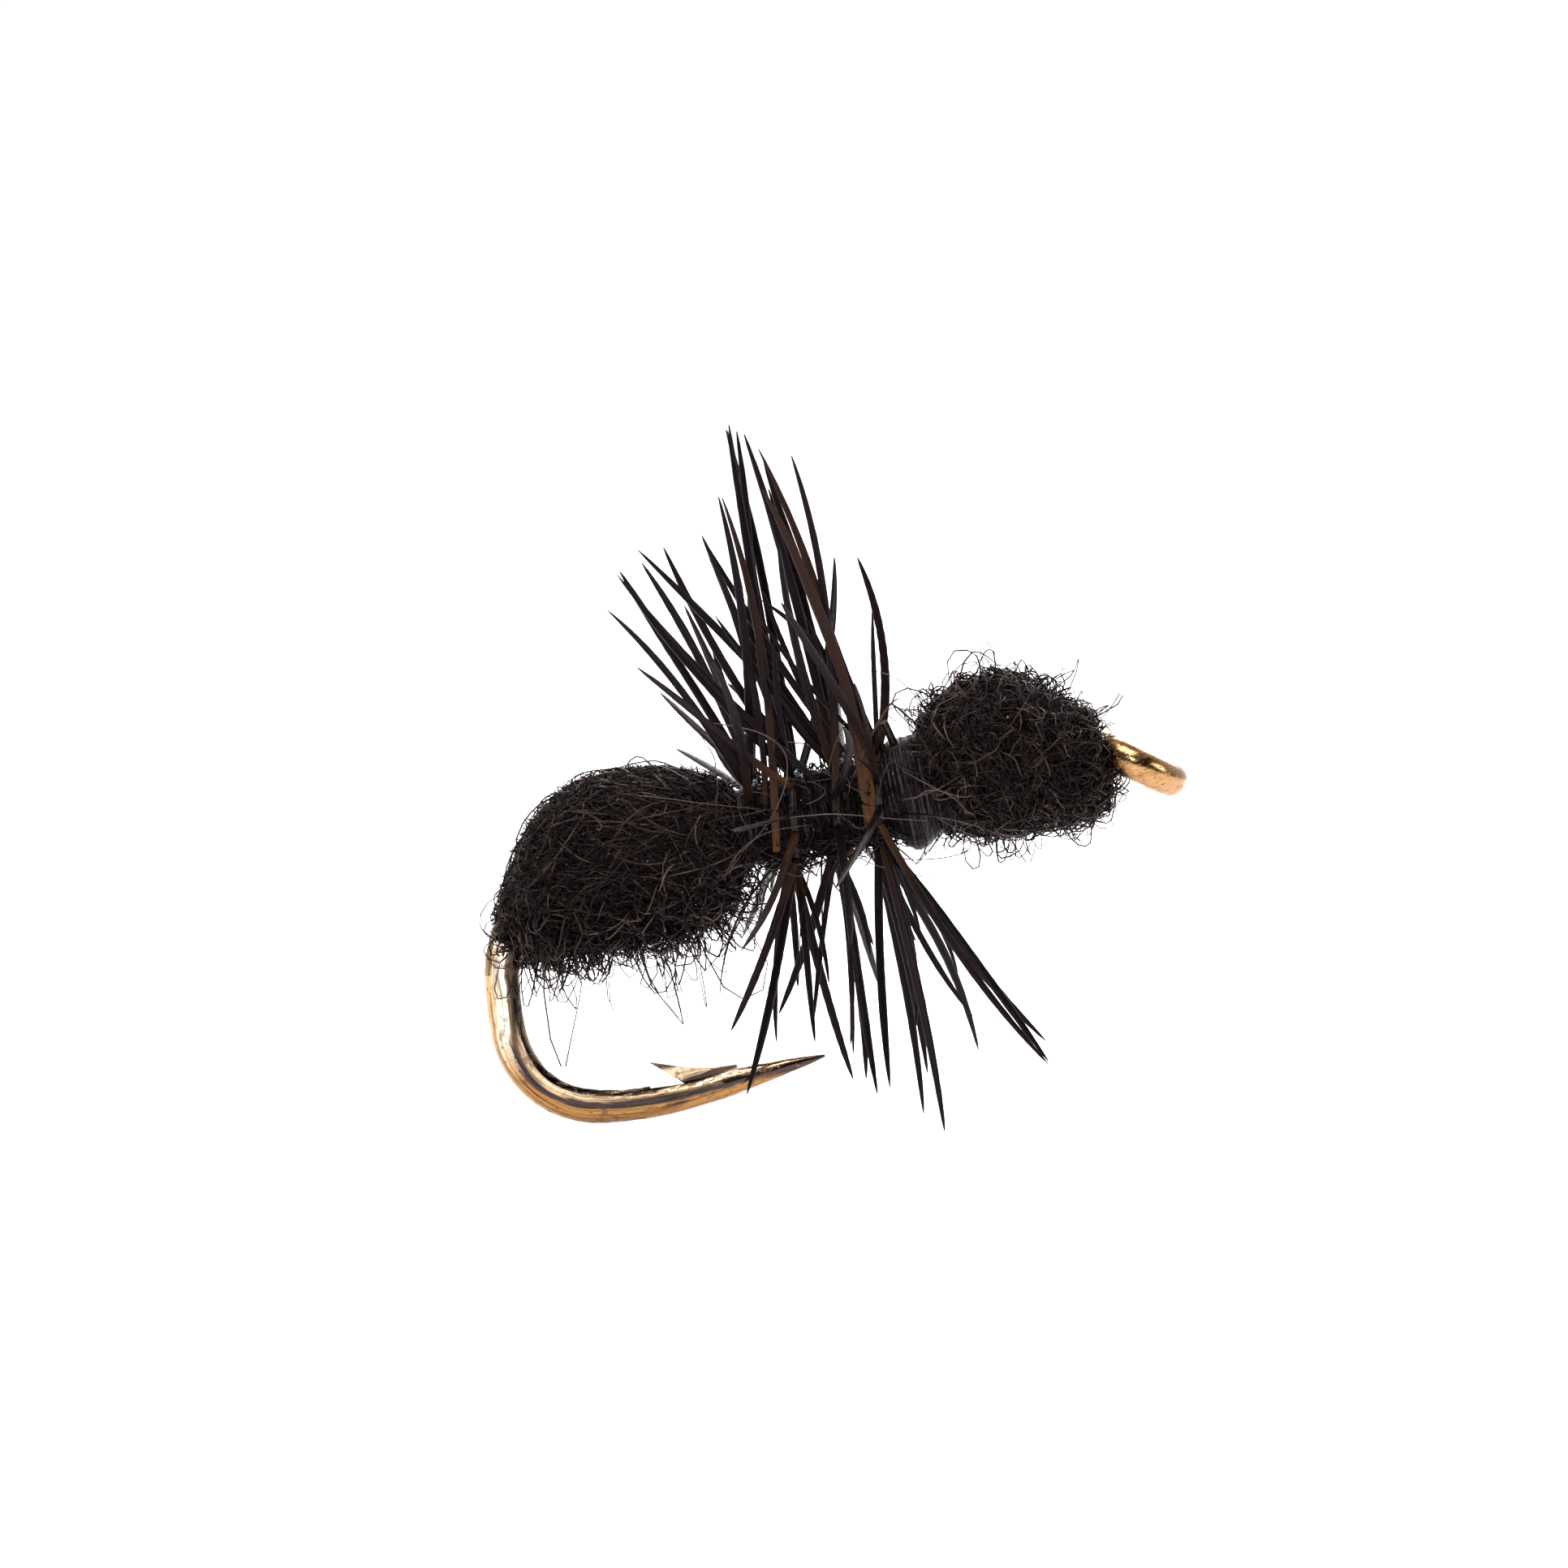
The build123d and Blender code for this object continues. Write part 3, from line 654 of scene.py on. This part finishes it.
def matted_core(name, shape, shrink, node):
    """The ball's skin drawn in by shrink and roughened with a sum of sines, closed at both
    ends by a fan."""
    rings, around = 60, 96
    u = np.linspace(0.03, 0.97, rings)[:, None]
    v = np.linspace(0, 2 * np.pi, around, endpoint=False)[None, :]
    u, v = np.broadcast_arrays(u, v)
    skin_at, _, _, out = ball_frame(u, v, shape)
    rough = (np.sin(9 * v + 14 * u) + np.sin(17 * v - 31 * u + 1) + np.sin(41 * u + 5 * v)) / 3
    points = (skin_at - out * (shrink + 0.03 * rough)[..., None]).reshape(-1, 3)
    number = np.arange(rings * around).reshape(rings, around)
    after = np.roll(number, -1, axis=1)
    walls = np.stack([number[:-1], after[:-1], after[1:], number[1:]], axis=-1).reshape(-1, 4)
    ends = [points[:around].mean(0)[None], points[-around:].mean(0)[None]]
    points = np.concatenate([points, *ends])
    rear, front = rings * around, rings * around + 1
    fans = [np.stack([np.full(around, rear), after[0], number[0]], axis=-1),
            np.stack([np.full(around, front), number[-1], after[-1]], axis=-1)]
    walls, fans = walls[:, ::-1], [fan[:, ::-1] for fan in fans]
    core = put(name, points, [walls, *fans], matted_fur_and_hub_shade)
    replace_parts(core, node)
    return core


def fibres_on(shape, count, length, heading, spread, low, high, steps=6, bend=0.6, curl=0.012,
              u_range=(0.04, 0.96), v_range=full_turn, loop=0.0, below=0.0, out=0.0):
    """Paths of fibres laid on a ball. Each starts at a random place on the skin and runs over
    it with a heading (0 is round the shank, 90 degrees is along it) that turns steadily by
    bend. Its height over the skin is a value from low to high, plus loop * sin(pi share),
    more so on the underside by below, plus out * share."""
    share = np.linspace(0, 1, steps)[None, :]
    u_first = chance.uniform(*u_range, (count, 1))
    v_first = chance.uniform(*v_range, (count, 1))
    reach = length * chance.uniform(0.45, 1.25, (count, 1))
    way = heading + chance.normal(0, spread, (count, 1))
    way = way + chance.normal(0, bend, (count, 1)) * share
    _, per_u, per_v, _ = ball_frame(u_first, v_first, shape)
    stride = reach / (steps - 1)
    u_steps = np.sin(way) * stride / np.maximum(per_u, 0.5)
    v_steps = np.cos(way) * stride / np.maximum(per_v, 0.25)
    u = np.clip(u_first + np.cumsum(u_steps, axis=1) - u_steps, 0.015, 0.985)
    v = v_first + np.cumsum(v_steps, axis=1) - v_steps
    skin_at, _, _, outward = ball_frame(u, v, shape)
    height = chance.uniform(low, high, (count, 1))
    tall = loop * chance.gamma(2.0, 0.5, (count, 1)) * (1 + below * (1 - np.cos(v)) / 2)
    stand = out * chance.uniform(0.4, 1.3, (count, 1))
    height = height + tall * np.sin(np.pi * share) + stand * share
    paths = skin_at + outward * height[..., None]
    return paths + wavy(count, steps, curl, 0.9)


def fur_piece(name, layers, thick, bright=1.0):
    """One piece out of several sets of paths with the same number of points."""
    paths = np.concatenate(layers)
    count = len(paths)
    tone = np.clip(chance.beta(2.0, 3.0, count) * bright, 0, 1)
    return tubes(name, paths, thick * chance.uniform(0.65, 1.25, count), fur_hair,
                 tone=tone)


# Station, top, bottom and half width of the ball at each ring, rear to front.
ball_softness = (241, 13)
abdomen = softened([
    (-1.12, -0.46, -0.62, 0.10), (-1.02, -0.18, -0.67, 0.34), (-0.84, 0.12, -0.72, 0.54),
    (-0.62, 0.47, -0.78, 0.71), (-0.32, 0.74, -0.85, 0.84), (0.05, 0.91, -0.91, 0.91),
    (0.45, 0.97, -0.95, 0.93), (0.88, 0.91, -0.94, 0.91), (1.22, 0.80, -0.88, 0.83),
    (1.50, 0.68, -0.70, 0.69), (1.70, 0.54, -0.48, 0.51), (1.86, 0.43, -0.37, 0.41),
], *ball_softness)
matted_core("abdomen_core", abdomen, 0.10, "abdomen_dubbing")
diagonal = radians(-62)
wound_hair, loose_hair, nap_hair = 0.0125, 0.0100, 0.0090
fur_piece("abdomen_wound_fur", [
    fibres_on(abdomen, 1600, 1.0, 0.0, 0.8, -0.10, -0.04),
    fibres_on(abdomen, 4600, 1.0, diagonal, 0.48, -0.06, 0.010, bend=0.6, curl=0.012),
], wound_hair)
fur_piece("abdomen_loose_fur", [
    fibres_on(abdomen, 750, 0.85, diagonal, 0.9, -0.03, 0.02, steps=8, loop=0.04, bend=1.3),
    fibres_on(abdomen, 900, 0.55, 0.0, 1.5, -0.05, -0.01, steps=8, loop=0.12, bend=2.6,
              v_range=(np.pi * 0.62, np.pi * 1.38), below=0.6, curl=0.04, u_range=(0.04, 0.86)),
    fibres_on(abdomen, 260, 0.60, 0.0, 1.5, -0.04, 0.0, steps=8, loop=0.21, bend=2.8,
              v_range=(np.pi * 0.72, np.pi * 1.28), below=0.5, curl=0.05, u_range=(0.15, 0.75)),
], loose_hair, bright=1.15)
fur_piece("abdomen_rear_nap", [
    fibres_on(abdomen, 2800, 0.12, 0.0, 3.0, -0.05, 0.0, steps=6, out=0.115, bend=3.0,
              curl=0.020, u_range=(0.02, 0.50)),
    fibres_on(abdomen, 1700, 0.14, 0.0, 3.0, -0.05, 0.0, steps=6, out=0.085, bend=3.0,
              curl=0.020, u_range=(0.45, 0.95)),
], nap_hair)

# ----------------------------------------------------------
# The head is a smaller, looser ball of the same fur, wound over the front of the shank up
# to the eye. It is combed round the shank and stands out in a fringe of open loops.
# ----------------------------------------------------------
head = softened([
    (3.88, 0.50, -0.42, 0.46), (4.04, 0.68, -0.52, 0.58), (4.30, 0.90, -0.67, 0.76),
    (4.68, 1.05, -0.79, 0.90), (5.04, 1.00, -0.80, 0.90), (5.36, 0.79, -0.80, 0.82),
    (5.62, 0.50, -0.76, 0.68), (5.80, 0.32, -0.64, 0.50), (5.90, 0.20, -0.34, 0.26),
], *ball_softness)
matted_core("head_core", head, 0.11, "head_dubbing")
fur_piece("head_wound_fur", [
    fibres_on(head, 3400, 0.90, 0.0, 0.32, -0.10, 0.01, bend=0.6, curl=0.006),
    fibres_on(head, 1500, 0.70, 0.0, 1.0, -0.04, 0.015, bend=1.2, curl=0.015),
], wound_hair)
fur_piece("head_loose_fur", [
    fibres_on(head, 1100, 0.45, 0.0, 1.3, -0.04, 0.01, steps=8, loop=0.06, bend=2.6,
              curl=0.035),
    fibres_on(head, 950, 0.50, radians(40), 1.5, -0.04, 0.0, steps=8, loop=0.13, bend=3.2,
              curl=0.045),
], loose_hair, bright=1.15)
fur_piece("head_nap", [
    fibres_on(head, 1600, 0.14, 0.0, 3.0, -0.06, -0.01, steps=6, out=0.07, bend=3.4,
              curl=0.024),
], nap_hair)

# ----------------------------------------------------------
# The hackle is a cock's feather, its stem wound three turns over the seat. The stem's butt
# is tied in behind and its trimmed tip in front. The stem is dark, round and horny.
# ----------------------------------------------------------
horn, tree, skin = start_material("feather_stem", Specular_IOR_Level=0.2)
grain = grain_on(tree, Scale=9000.0)
tint(tree, skin, [(0.35, (0.003, 0.002, 0.0016)), (0.60, (0.008, 0.0045, 0.003)),
                  (0.85, (0.030, 0.015, 0.007))], grain.outputs["Mottle"])
polish(tree, skin, grain, (0.3, 0.22), (0.8, 0.5))
roughen(tree, skin, grain.outputs["Grain"], 0.5, 0.008)
for stem in ("hackle_quill", "hackle_butt", "hackle_tip_stub"):
    finish_node(stem, horn)

# ----------------------------------------------------------
# Each hackle barb is a stiff flat blade that grows from the stem, near black. Painted into
# its colour are a brown glow at its edges and a warm glow near the foot of the browner barbs,
# where light would shine through the blade. It is grooved down the middle, nicked where the
# barbules were, and tapers to a hair. Every one takes its place, turn and bow from its CAD
# node.
blade_skin, tree, skin = start_material("hackle_barb", Specular_IOR_Level=0.08,
                                        Specular_Tint=(0.90, 0.74, 0.86, 1))
grain = grain_on(tree, Scale=22000.0)
tone = add(tree, "Attribute", attribute_name="tone")
painted_glow_rim = add(tree, "Attribute", attribute_name="painted_glow_rim")
reach = add(tree, "Attribute", attribute_name="reach")
body = ramp(tree, [(0.0, (0.0010, 0.0010, 0.0015)), (0.50, (0.0025, 0.0016, 0.0017)),
                   (0.80, (0.0075, 0.0036, 0.0027)), (1.0, (0.026, 0.0115, 0.0060))],
            tone.outputs["Fac"])
# Painted glow: the thin flat edges of each blade turn brown-purple, for light shining through
# them.
lit_edge = math(tree, "MULTIPLY", math(tree, "POWER", painted_glow_rim.outputs["Fac"], 3.0),
                math(tree, "ADD", math(tree, "MULTIPLY", grain.outputs["Mottle"], 0.9), 0.1))
colour = blend(tree, lit_edge, body.outputs[0], (0.026, 0.013, 0.015))
# Painted glow: a warm brown near the foot of the browner barbs, for light shining through them.
foot = math(tree, "SUBTRACT", 1.0, math(tree, "MULTIPLY", reach.outputs["Fac"], 3.5))
foot = math(tree, "MULTIPLY", math(tree, "MAXIMUM", foot, 0.0),
            math(tree, "POWER", tone.outputs["Fac"], 2.0))
colour = blend(tree, foot, colour, (0.075, 0.032, 0.010))
join(tree, colour, skin.inputs["Base Color"])
polish(tree, skin, grain, (0.3, 0.24), (0.75, 0.50))
roughen(tree, skin, grain.outputs["Grain"], 0.5, 0.004)


seat_middle = 3.0
end_share = 0.02
foot_share = 0.03


def measure_barb(node):
    """A CAD barb's foot, unit direction, length, flat-side direction and bow, read from its
    vertices: the longest principal axis, the second one at right angles to it, and the
    parabola 4 b t (1 - t) that fits the vertices best."""
    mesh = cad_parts[node].data
    co = np.zeros(len(mesh.vertices) * 3)
    mesh.vertices.foreach_get("co", co)
    co = np.unique(np.round(co.reshape(-1, 3) / MM, 5), axis=0)
    middle = (co.min(0) + co.max(0)) / 2
    _, _, axes = np.linalg.svd(co - co.mean(0), full_matrices=False)
    along = axes[0]
    travel = (co - middle) @ along
    shank = in_frame(seat_middle, 0.0, 0.0)
    far = np.linalg.norm(middle + along * travel.max() - shank)
    near = np.linalg.norm(middle + along * travel.min() - shank)
    if near > far:
        along, travel = -along, -travel
    low, high = travel.min(), travel.max()
    first = co[travel < low + end_share * (high - low)].mean(0)
    last = co[travel > high - end_share * (high - low)].mean(0)
    length = np.linalg.norm(last - first)
    along = (last - first) / length
    share = ((co - first) @ along) / length
    side = (co - first) - np.outer(share * length, along)
    arch = 4 * share * (1 - share)
    bow = (arch[:, None] * side).sum(0) / max((arch ** 2).sum(), 1e-9)
    near_foot = side[np.abs(share) < foot_share]
    _, _, flat = np.linalg.svd(near_foot - near_foot.mean(0), full_matrices=False)
    across = flat[0] - along * (flat[0] @ along)
    return first, along, length, across / np.linalg.norm(across), bow


barb_half_width = 0.051
thick_to_wide = 0.60


def blade(name, place, tone, width=barb_half_width):
    """The barb as a profile carried from foot to tip: a flat lens of 10 corners, width times
    cos a and thickness times sin a less a groove, on a line bowed by 4 bow t (1 - t)."""
    first, along, length, across, bow = place
    stations, corners = 30, 10
    share = np.linspace(0, 1, stations)[:, None]
    turn = 2 * np.pi * np.arange(corners)[None, :] / corners
    flat = np.cross(along, across)
    swing = chance.normal(0, 0.012, (1, 3)) * length
    line = first + along * share * length + bow * 4 * share * (1 - share)
    line = line + swing * np.sin(np.pi * share) * share
    nick = 1 + 0.05 * np.sin(chance.uniform(60, 90) * share + chance.uniform(0, 6)) ** 5
    taper = np.interp(share, [0, 0.06, 0.30, 0.70, 0.88, 0.97, 1.0],
                      [0.85, 0.95, 1.0, 0.90, 0.64, 0.34, 0.12])
    half_width = width * taper * nick * (1 + 0.04 * np.sin(9 * share + tone * 9))
    thinning = np.interp(share, [0, 0.5, 0.9, 1.0], [1.0, 0.85, 0.55, 0.14])
    half_thick = width * thick_to_wide * thinning
    groove = 1 - 0.55 * np.exp(-(np.cos(turn) / 0.35) ** 2)
    twist = chance.normal(0, 0.18) * share
    wide = across * np.cos(twist) + flat * np.sin(twist)
    deep = flat * np.cos(twist) - across * np.sin(twist)
    points = (line[:, None] + wide[:, None] * (half_width * np.cos(turn))[..., None]
              + deep[:, None] * (half_thick * np.sin(turn) * groove)[..., None])
    number = np.arange(stations * corners).reshape(stations, corners)
    after = np.roll(number, -1, axis=1)
    walls = np.stack([number[:-1], after[:-1], after[1:], number[1:]], axis=-1).reshape(-1, 4)
    caps = [number[0][::-1][None], number[-1][None]]
    marks = {
        "tone": np.full(number.shape, tone),
        "painted_glow_rim": np.broadcast_to(np.abs(np.cos(turn)), number.shape),
        "reach": np.broadcast_to(share, number.shape),
    }
    return put(name, points.reshape(-1, 3), [walls, *caps], blade_skin,
               marks=marks)


barb_nodes = sorted(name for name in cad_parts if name.startswith("hackle_barb_"))
for node in barb_nodes:
    name = node.replace("barb", "blade")
    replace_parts(blade(name, measure_barb(node), float(chance.beta(1.2, 2.2))), node)

# Shorter, finer barbs fill the collar between the long ones. Each row holds the clock angles
# from and to, the lean forward from and to, in degrees, and how many grow there.
quill_start = 2.0
quill_pitch = 0.49
stem_radius = 0.50
up = np.array([-np.sin(nose_up), 0, np.cos(nose_up)])
ahead = np.array([np.cos(nose_up), 0, np.sin(nose_up)])
fill_rows = [(-32, 8, -24, 12, 15), (150, 212, -26, 16, 15), (60, 130, -14, 10, 6),
             (235, 300, -14, 8, 2)]
number = 0
for first_clock, last_clock, first_lean, last_lean, count in fill_rows:
    for step in range(count):
        number += 1
        clock = radians(chance.uniform(first_clock, last_clock))
        lean = radians(chance.uniform(first_lean, last_lean))
        turns = chance.integers(0, 3) + (clock / (2 * np.pi)) % 1
        station = quill_start + quill_pitch * turns
        out = np.array([0, 1, 0]) * np.sin(clock) + up * np.cos(clock)
        foot = in_frame(station, stem_radius * np.sin(clock), stem_radius * np.cos(clock))
        along = out * np.cos(lean) + ahead * np.sin(lean)
        across = ahead * np.cos(lean) - out * np.sin(lean)
        length = chance.uniform(1.2, 2.4)
        bow = across * chance.normal(0, 0.03) * length
        blade(f"hackle_fill_{number:02d}", (foot, along, length, across, bow),
              float(chance.beta(1.2, 2.2)), width=chance.uniform(0.026, 0.045))

# The stem's near side throws these barbs up and down across the collar. Each row holds the
# station, across and up of its foot and of its tip, its bow, half width and tone.
crossing_rows = [
    ((3.24, -0.45, -0.20), (2.89, -1.05, 3.66), -0.05, 0.062, 0.93),
    ((3.16, -0.47, -0.29), (2.95, -0.80, 4.10), -0.04, 0.050, 0.90),
    ((2.09, -0.44, -0.33), (2.43, -0.95, 3.67), -0.03, 0.050, 0.86),
    ((2.23, -0.46, 0.32), (2.66, -0.55, 4.37), -0.02, 0.048, 0.10),
    ((2.08, -0.47, 0.16), (2.11, -0.95, 3.27), -0.06, 0.040, 0.45),
    ((2.72, -0.48, 0.33), (1.09, -1.00, 3.11), 0.02, 0.042, 0.15),
    ((3.08, -0.46, 0.58), (2.11, -0.70, 3.27), 0.02, 0.042, 0.30),
    ((2.84, -0.45, -0.06), (3.29, -0.90, 3.94), -0.03, 0.048, 0.60),
    ((3.27, -0.47, -0.21), (4.49, -0.80, -3.33), -0.03, 0.044, 0.70),
    ((2.94, -0.42, -0.51), (2.58, -0.62, -0.90), -0.16, 0.028, 0.80),
]
for number, (foot, tip, bow, half, tone) in enumerate(crossing_rows, start=1):
    foot, tip = in_frame(*foot), in_frame(*tip)
    length = np.linalg.norm(tip - foot)
    along = (tip - foot) / length
    across = np.cross(along, np.array([0, 1, 0]))
    across /= np.linalg.norm(across)
    blade(f"crossing_blade_{number:02d}", (foot, along, length, across, across * bow * length),
          tone, width=half)

# ----------------------------------------------------------
# Soft webby barbs from the base of the feather and single guard hairs stray through the
# collar and over the body. They are much finer than the stiff barbs.
# ----------------------------------------------------------
def arcs(first, last, sag, steps=14, curl=0.02):
    """Curved hairs from first to last, each pushed aside by sag * 4 t (1 - t)."""
    share = np.linspace(0, 1, steps)[None, :, None]
    line = first[:, None] + (last - first)[:, None] * share
    line = line + sag[:, None] * 4 * share * (1 - share)
    return line + wavy(len(first), steps, curl, 0.8)


def round_shank(count, stations, clocks, radii):
    """Random points at those ranges of station, clock angle a and distance from the shank:
    distance * sin a across and distance * cos a up."""
    station = chance.uniform(*stations, count)
    clock = chance.uniform(*clocks, count)
    radius = chance.uniform(*radii, count)
    return in_frame(station, radius * np.sin(clock), radius * np.cos(clock))


floor_gap = 0.05

# The web takes the near-black matted material, not the fur's. That is partly its own dark
# colour and partly painted shade for the hub, deep among the barbs.
web = 620
feet = round_shank(web, (1.98, 3.52), full_turn, (0.40, 0.50))
hub = in_frame(chance.uniform(1.9, 3.6, web), np.zeros(web), np.zeros(web))
outward = feet - hub
outward[:, 0] *= 0.6
outward /= np.linalg.norm(outward, axis=1, keepdims=True)
tips = feet + outward * chance.uniform(0.02, 0.13, (web, 1)) + chance.normal(0, 0.08, (web, 3))
tubes("hackle_web", arcs(feet, tips, chance.normal(0, 0.05, (web, 3)), steps=6),
      chance.uniform(0.008, 0.014, web), matted_fur_and_hub_shade,
      tone=chance.uniform(0.0, 0.45, web), tip=0.3)

fuzz = 420
feet = round_shank(fuzz, (1.95, 3.45), (np.pi * 0.65, np.pi * 1.35), (0.44, 0.54))
tips = feet + chance.normal(0, 1, (fuzz, 3)) * np.array([0.20, 0.12, 0.10])
tubes("collar_fuzz", arcs(feet, tips, chance.normal(0, 0.07, (fuzz, 3)), steps=10, curl=0.03),
      chance.uniform(0.008, 0.012, fuzz), fur_hair,
      tone=chance.uniform(0.1, 0.6, fuzz), tip=0.4)

webby = 22
feet = round_shank(webby, (1.95, 3.5), full_turn, (0.42, 0.48))
spine = in_frame(np.full(webby, 2.7), np.zeros(webby), np.zeros(webby))
outward = feet - spine
outward[:, 0] *= 0.5
outward /= np.linalg.norm(outward, axis=1, keepdims=True)
tips = feet + outward * chance.uniform(0.6, 1.9, (webby, 1))
tips[:, 2] = np.maximum(tips[:, 2], floor_gap)
tubes("webby_barbs", arcs(feet, tips, chance.normal(0, 0.12, (webby, 3))),
      chance.uniform(0.010, 0.017, webby), fur_hair,
      tone=chance.uniform(0.3, 0.9, webby), sides=4, tip=0.15)

guard = 46
feet = round_shank(guard, (1.2, 4.3), (np.pi, 2 * np.pi), (0.45, 0.75))
tips = feet + chance.normal(0, 1, (guard, 3)) * np.array([0.75, 0.25, 0.45])
tips[:, 2] = np.maximum(tips[:, 2], floor_gap)
tubes("guard_hairs", arcs(feet, tips, chance.normal(0, 0.18, (guard, 3))),
      chance.uniform(0.006, 0.009, guard), fur_hair,
      tone=chance.uniform(0.5, 1.0, guard), tip=0.3)

# Three long hairs lie across the collar. Each is a row of station, across and up.
hair_lines = [
    [(2.18, -0.70, 0.03), (2.44, -0.92, 0.01), (2.75, -1.02, -0.03), (3.06, -1.02, -0.12),
     (3.45, -0.92, -0.26), (3.82, -0.72, -0.38)],
    [(1.75, -0.70, 1.24), (2.01, -0.85, 1.14), (2.23, -0.95, 1.03), (2.39, -1.0, 0.88),
     (2.47, -1.02, 0.71), (2.42, -1.0, 0.50), (2.33, -0.95, 0.31), (2.09, -0.88, 0.0),
     (1.71, -0.95, -0.23)],
    [(3.73, -0.66, -0.11), (3.87, -0.78, -0.04), (4.03, -0.88, -0.07), (4.17, -0.95, -0.20),
     (4.26, -1.0, -0.36), (4.34, -0.98, -0.44)],
]
paths = np.array([in_frame(*softened(line, 24, 3)[1]) for line in hair_lines])
tubes("crossing_hairs", paths, 0.0085, fur_hair, tone=0.97, tip=0.5)

# ----------------------------------------------------------
# Fine pale dust has settled in the fur and on the barbs, as it does on any used fly. The
# pale grains also stand in for painted glints, bright points where fibres catch the light.
# ----------------------------------------------------------
dust_and_glints, tree, skin = start_material("pale_dust_and_painted_glints", Roughness=0.7)
grain = grain_on(tree, Scale=3000.0)
tint(tree, skin, [(0.35, (0.12, 0.08, 0.05)), (0.65, (0.55, 0.48, 0.40))],
     grain.outputs["Mottle"])


def specks(name, places, low, high):
    """One eight-sided grain at each place: corners along the six axis directions, each at a
    random distance from low to high."""
    ways = np.array([[1, 0, 0], [0, 1, 0], [-1, 0, 0], [0, -1, 0], [0, 0, 1], [0, 0, -1]])
    sizes = chance.uniform(low, high, (len(places), 1, 1))
    sizes = sizes * chance.uniform(0.6, 1.4, (len(places), 6, 1))
    points = places[:, None] + ways * sizes
    sides = np.array([[0, 1, 4], [1, 2, 4], [2, 3, 4], [3, 0, 4],
                      [1, 0, 5], [2, 1, 5], [3, 2, 5], [0, 3, 5]])
    faces = np.arange(len(places))[:, None, None] * 6 + sides
    return put(name, points.reshape(-1, 3), [faces.reshape(-1, 3)], dust_and_glints,
               smooth=False)


def on_ball(shape, count):
    """Random places just off a ball's skin."""
    u, v = chance.uniform(0.05, 0.95, count), chance.uniform(0, 2 * np.pi, count)
    skin_at, _, _, out = ball_frame(u, v, shape)
    return skin_at + out * chance.uniform(0.01, 0.06, (count, 1))


places = [on_ball(abdomen, 150), on_ball(head, 90),
          round_shank(60, (1.9, 4.0), full_turn, (0.50, 0.62))]
specks("dust_and_painted_glints_on_fur", np.concatenate(places), 0.0035, 0.0085)
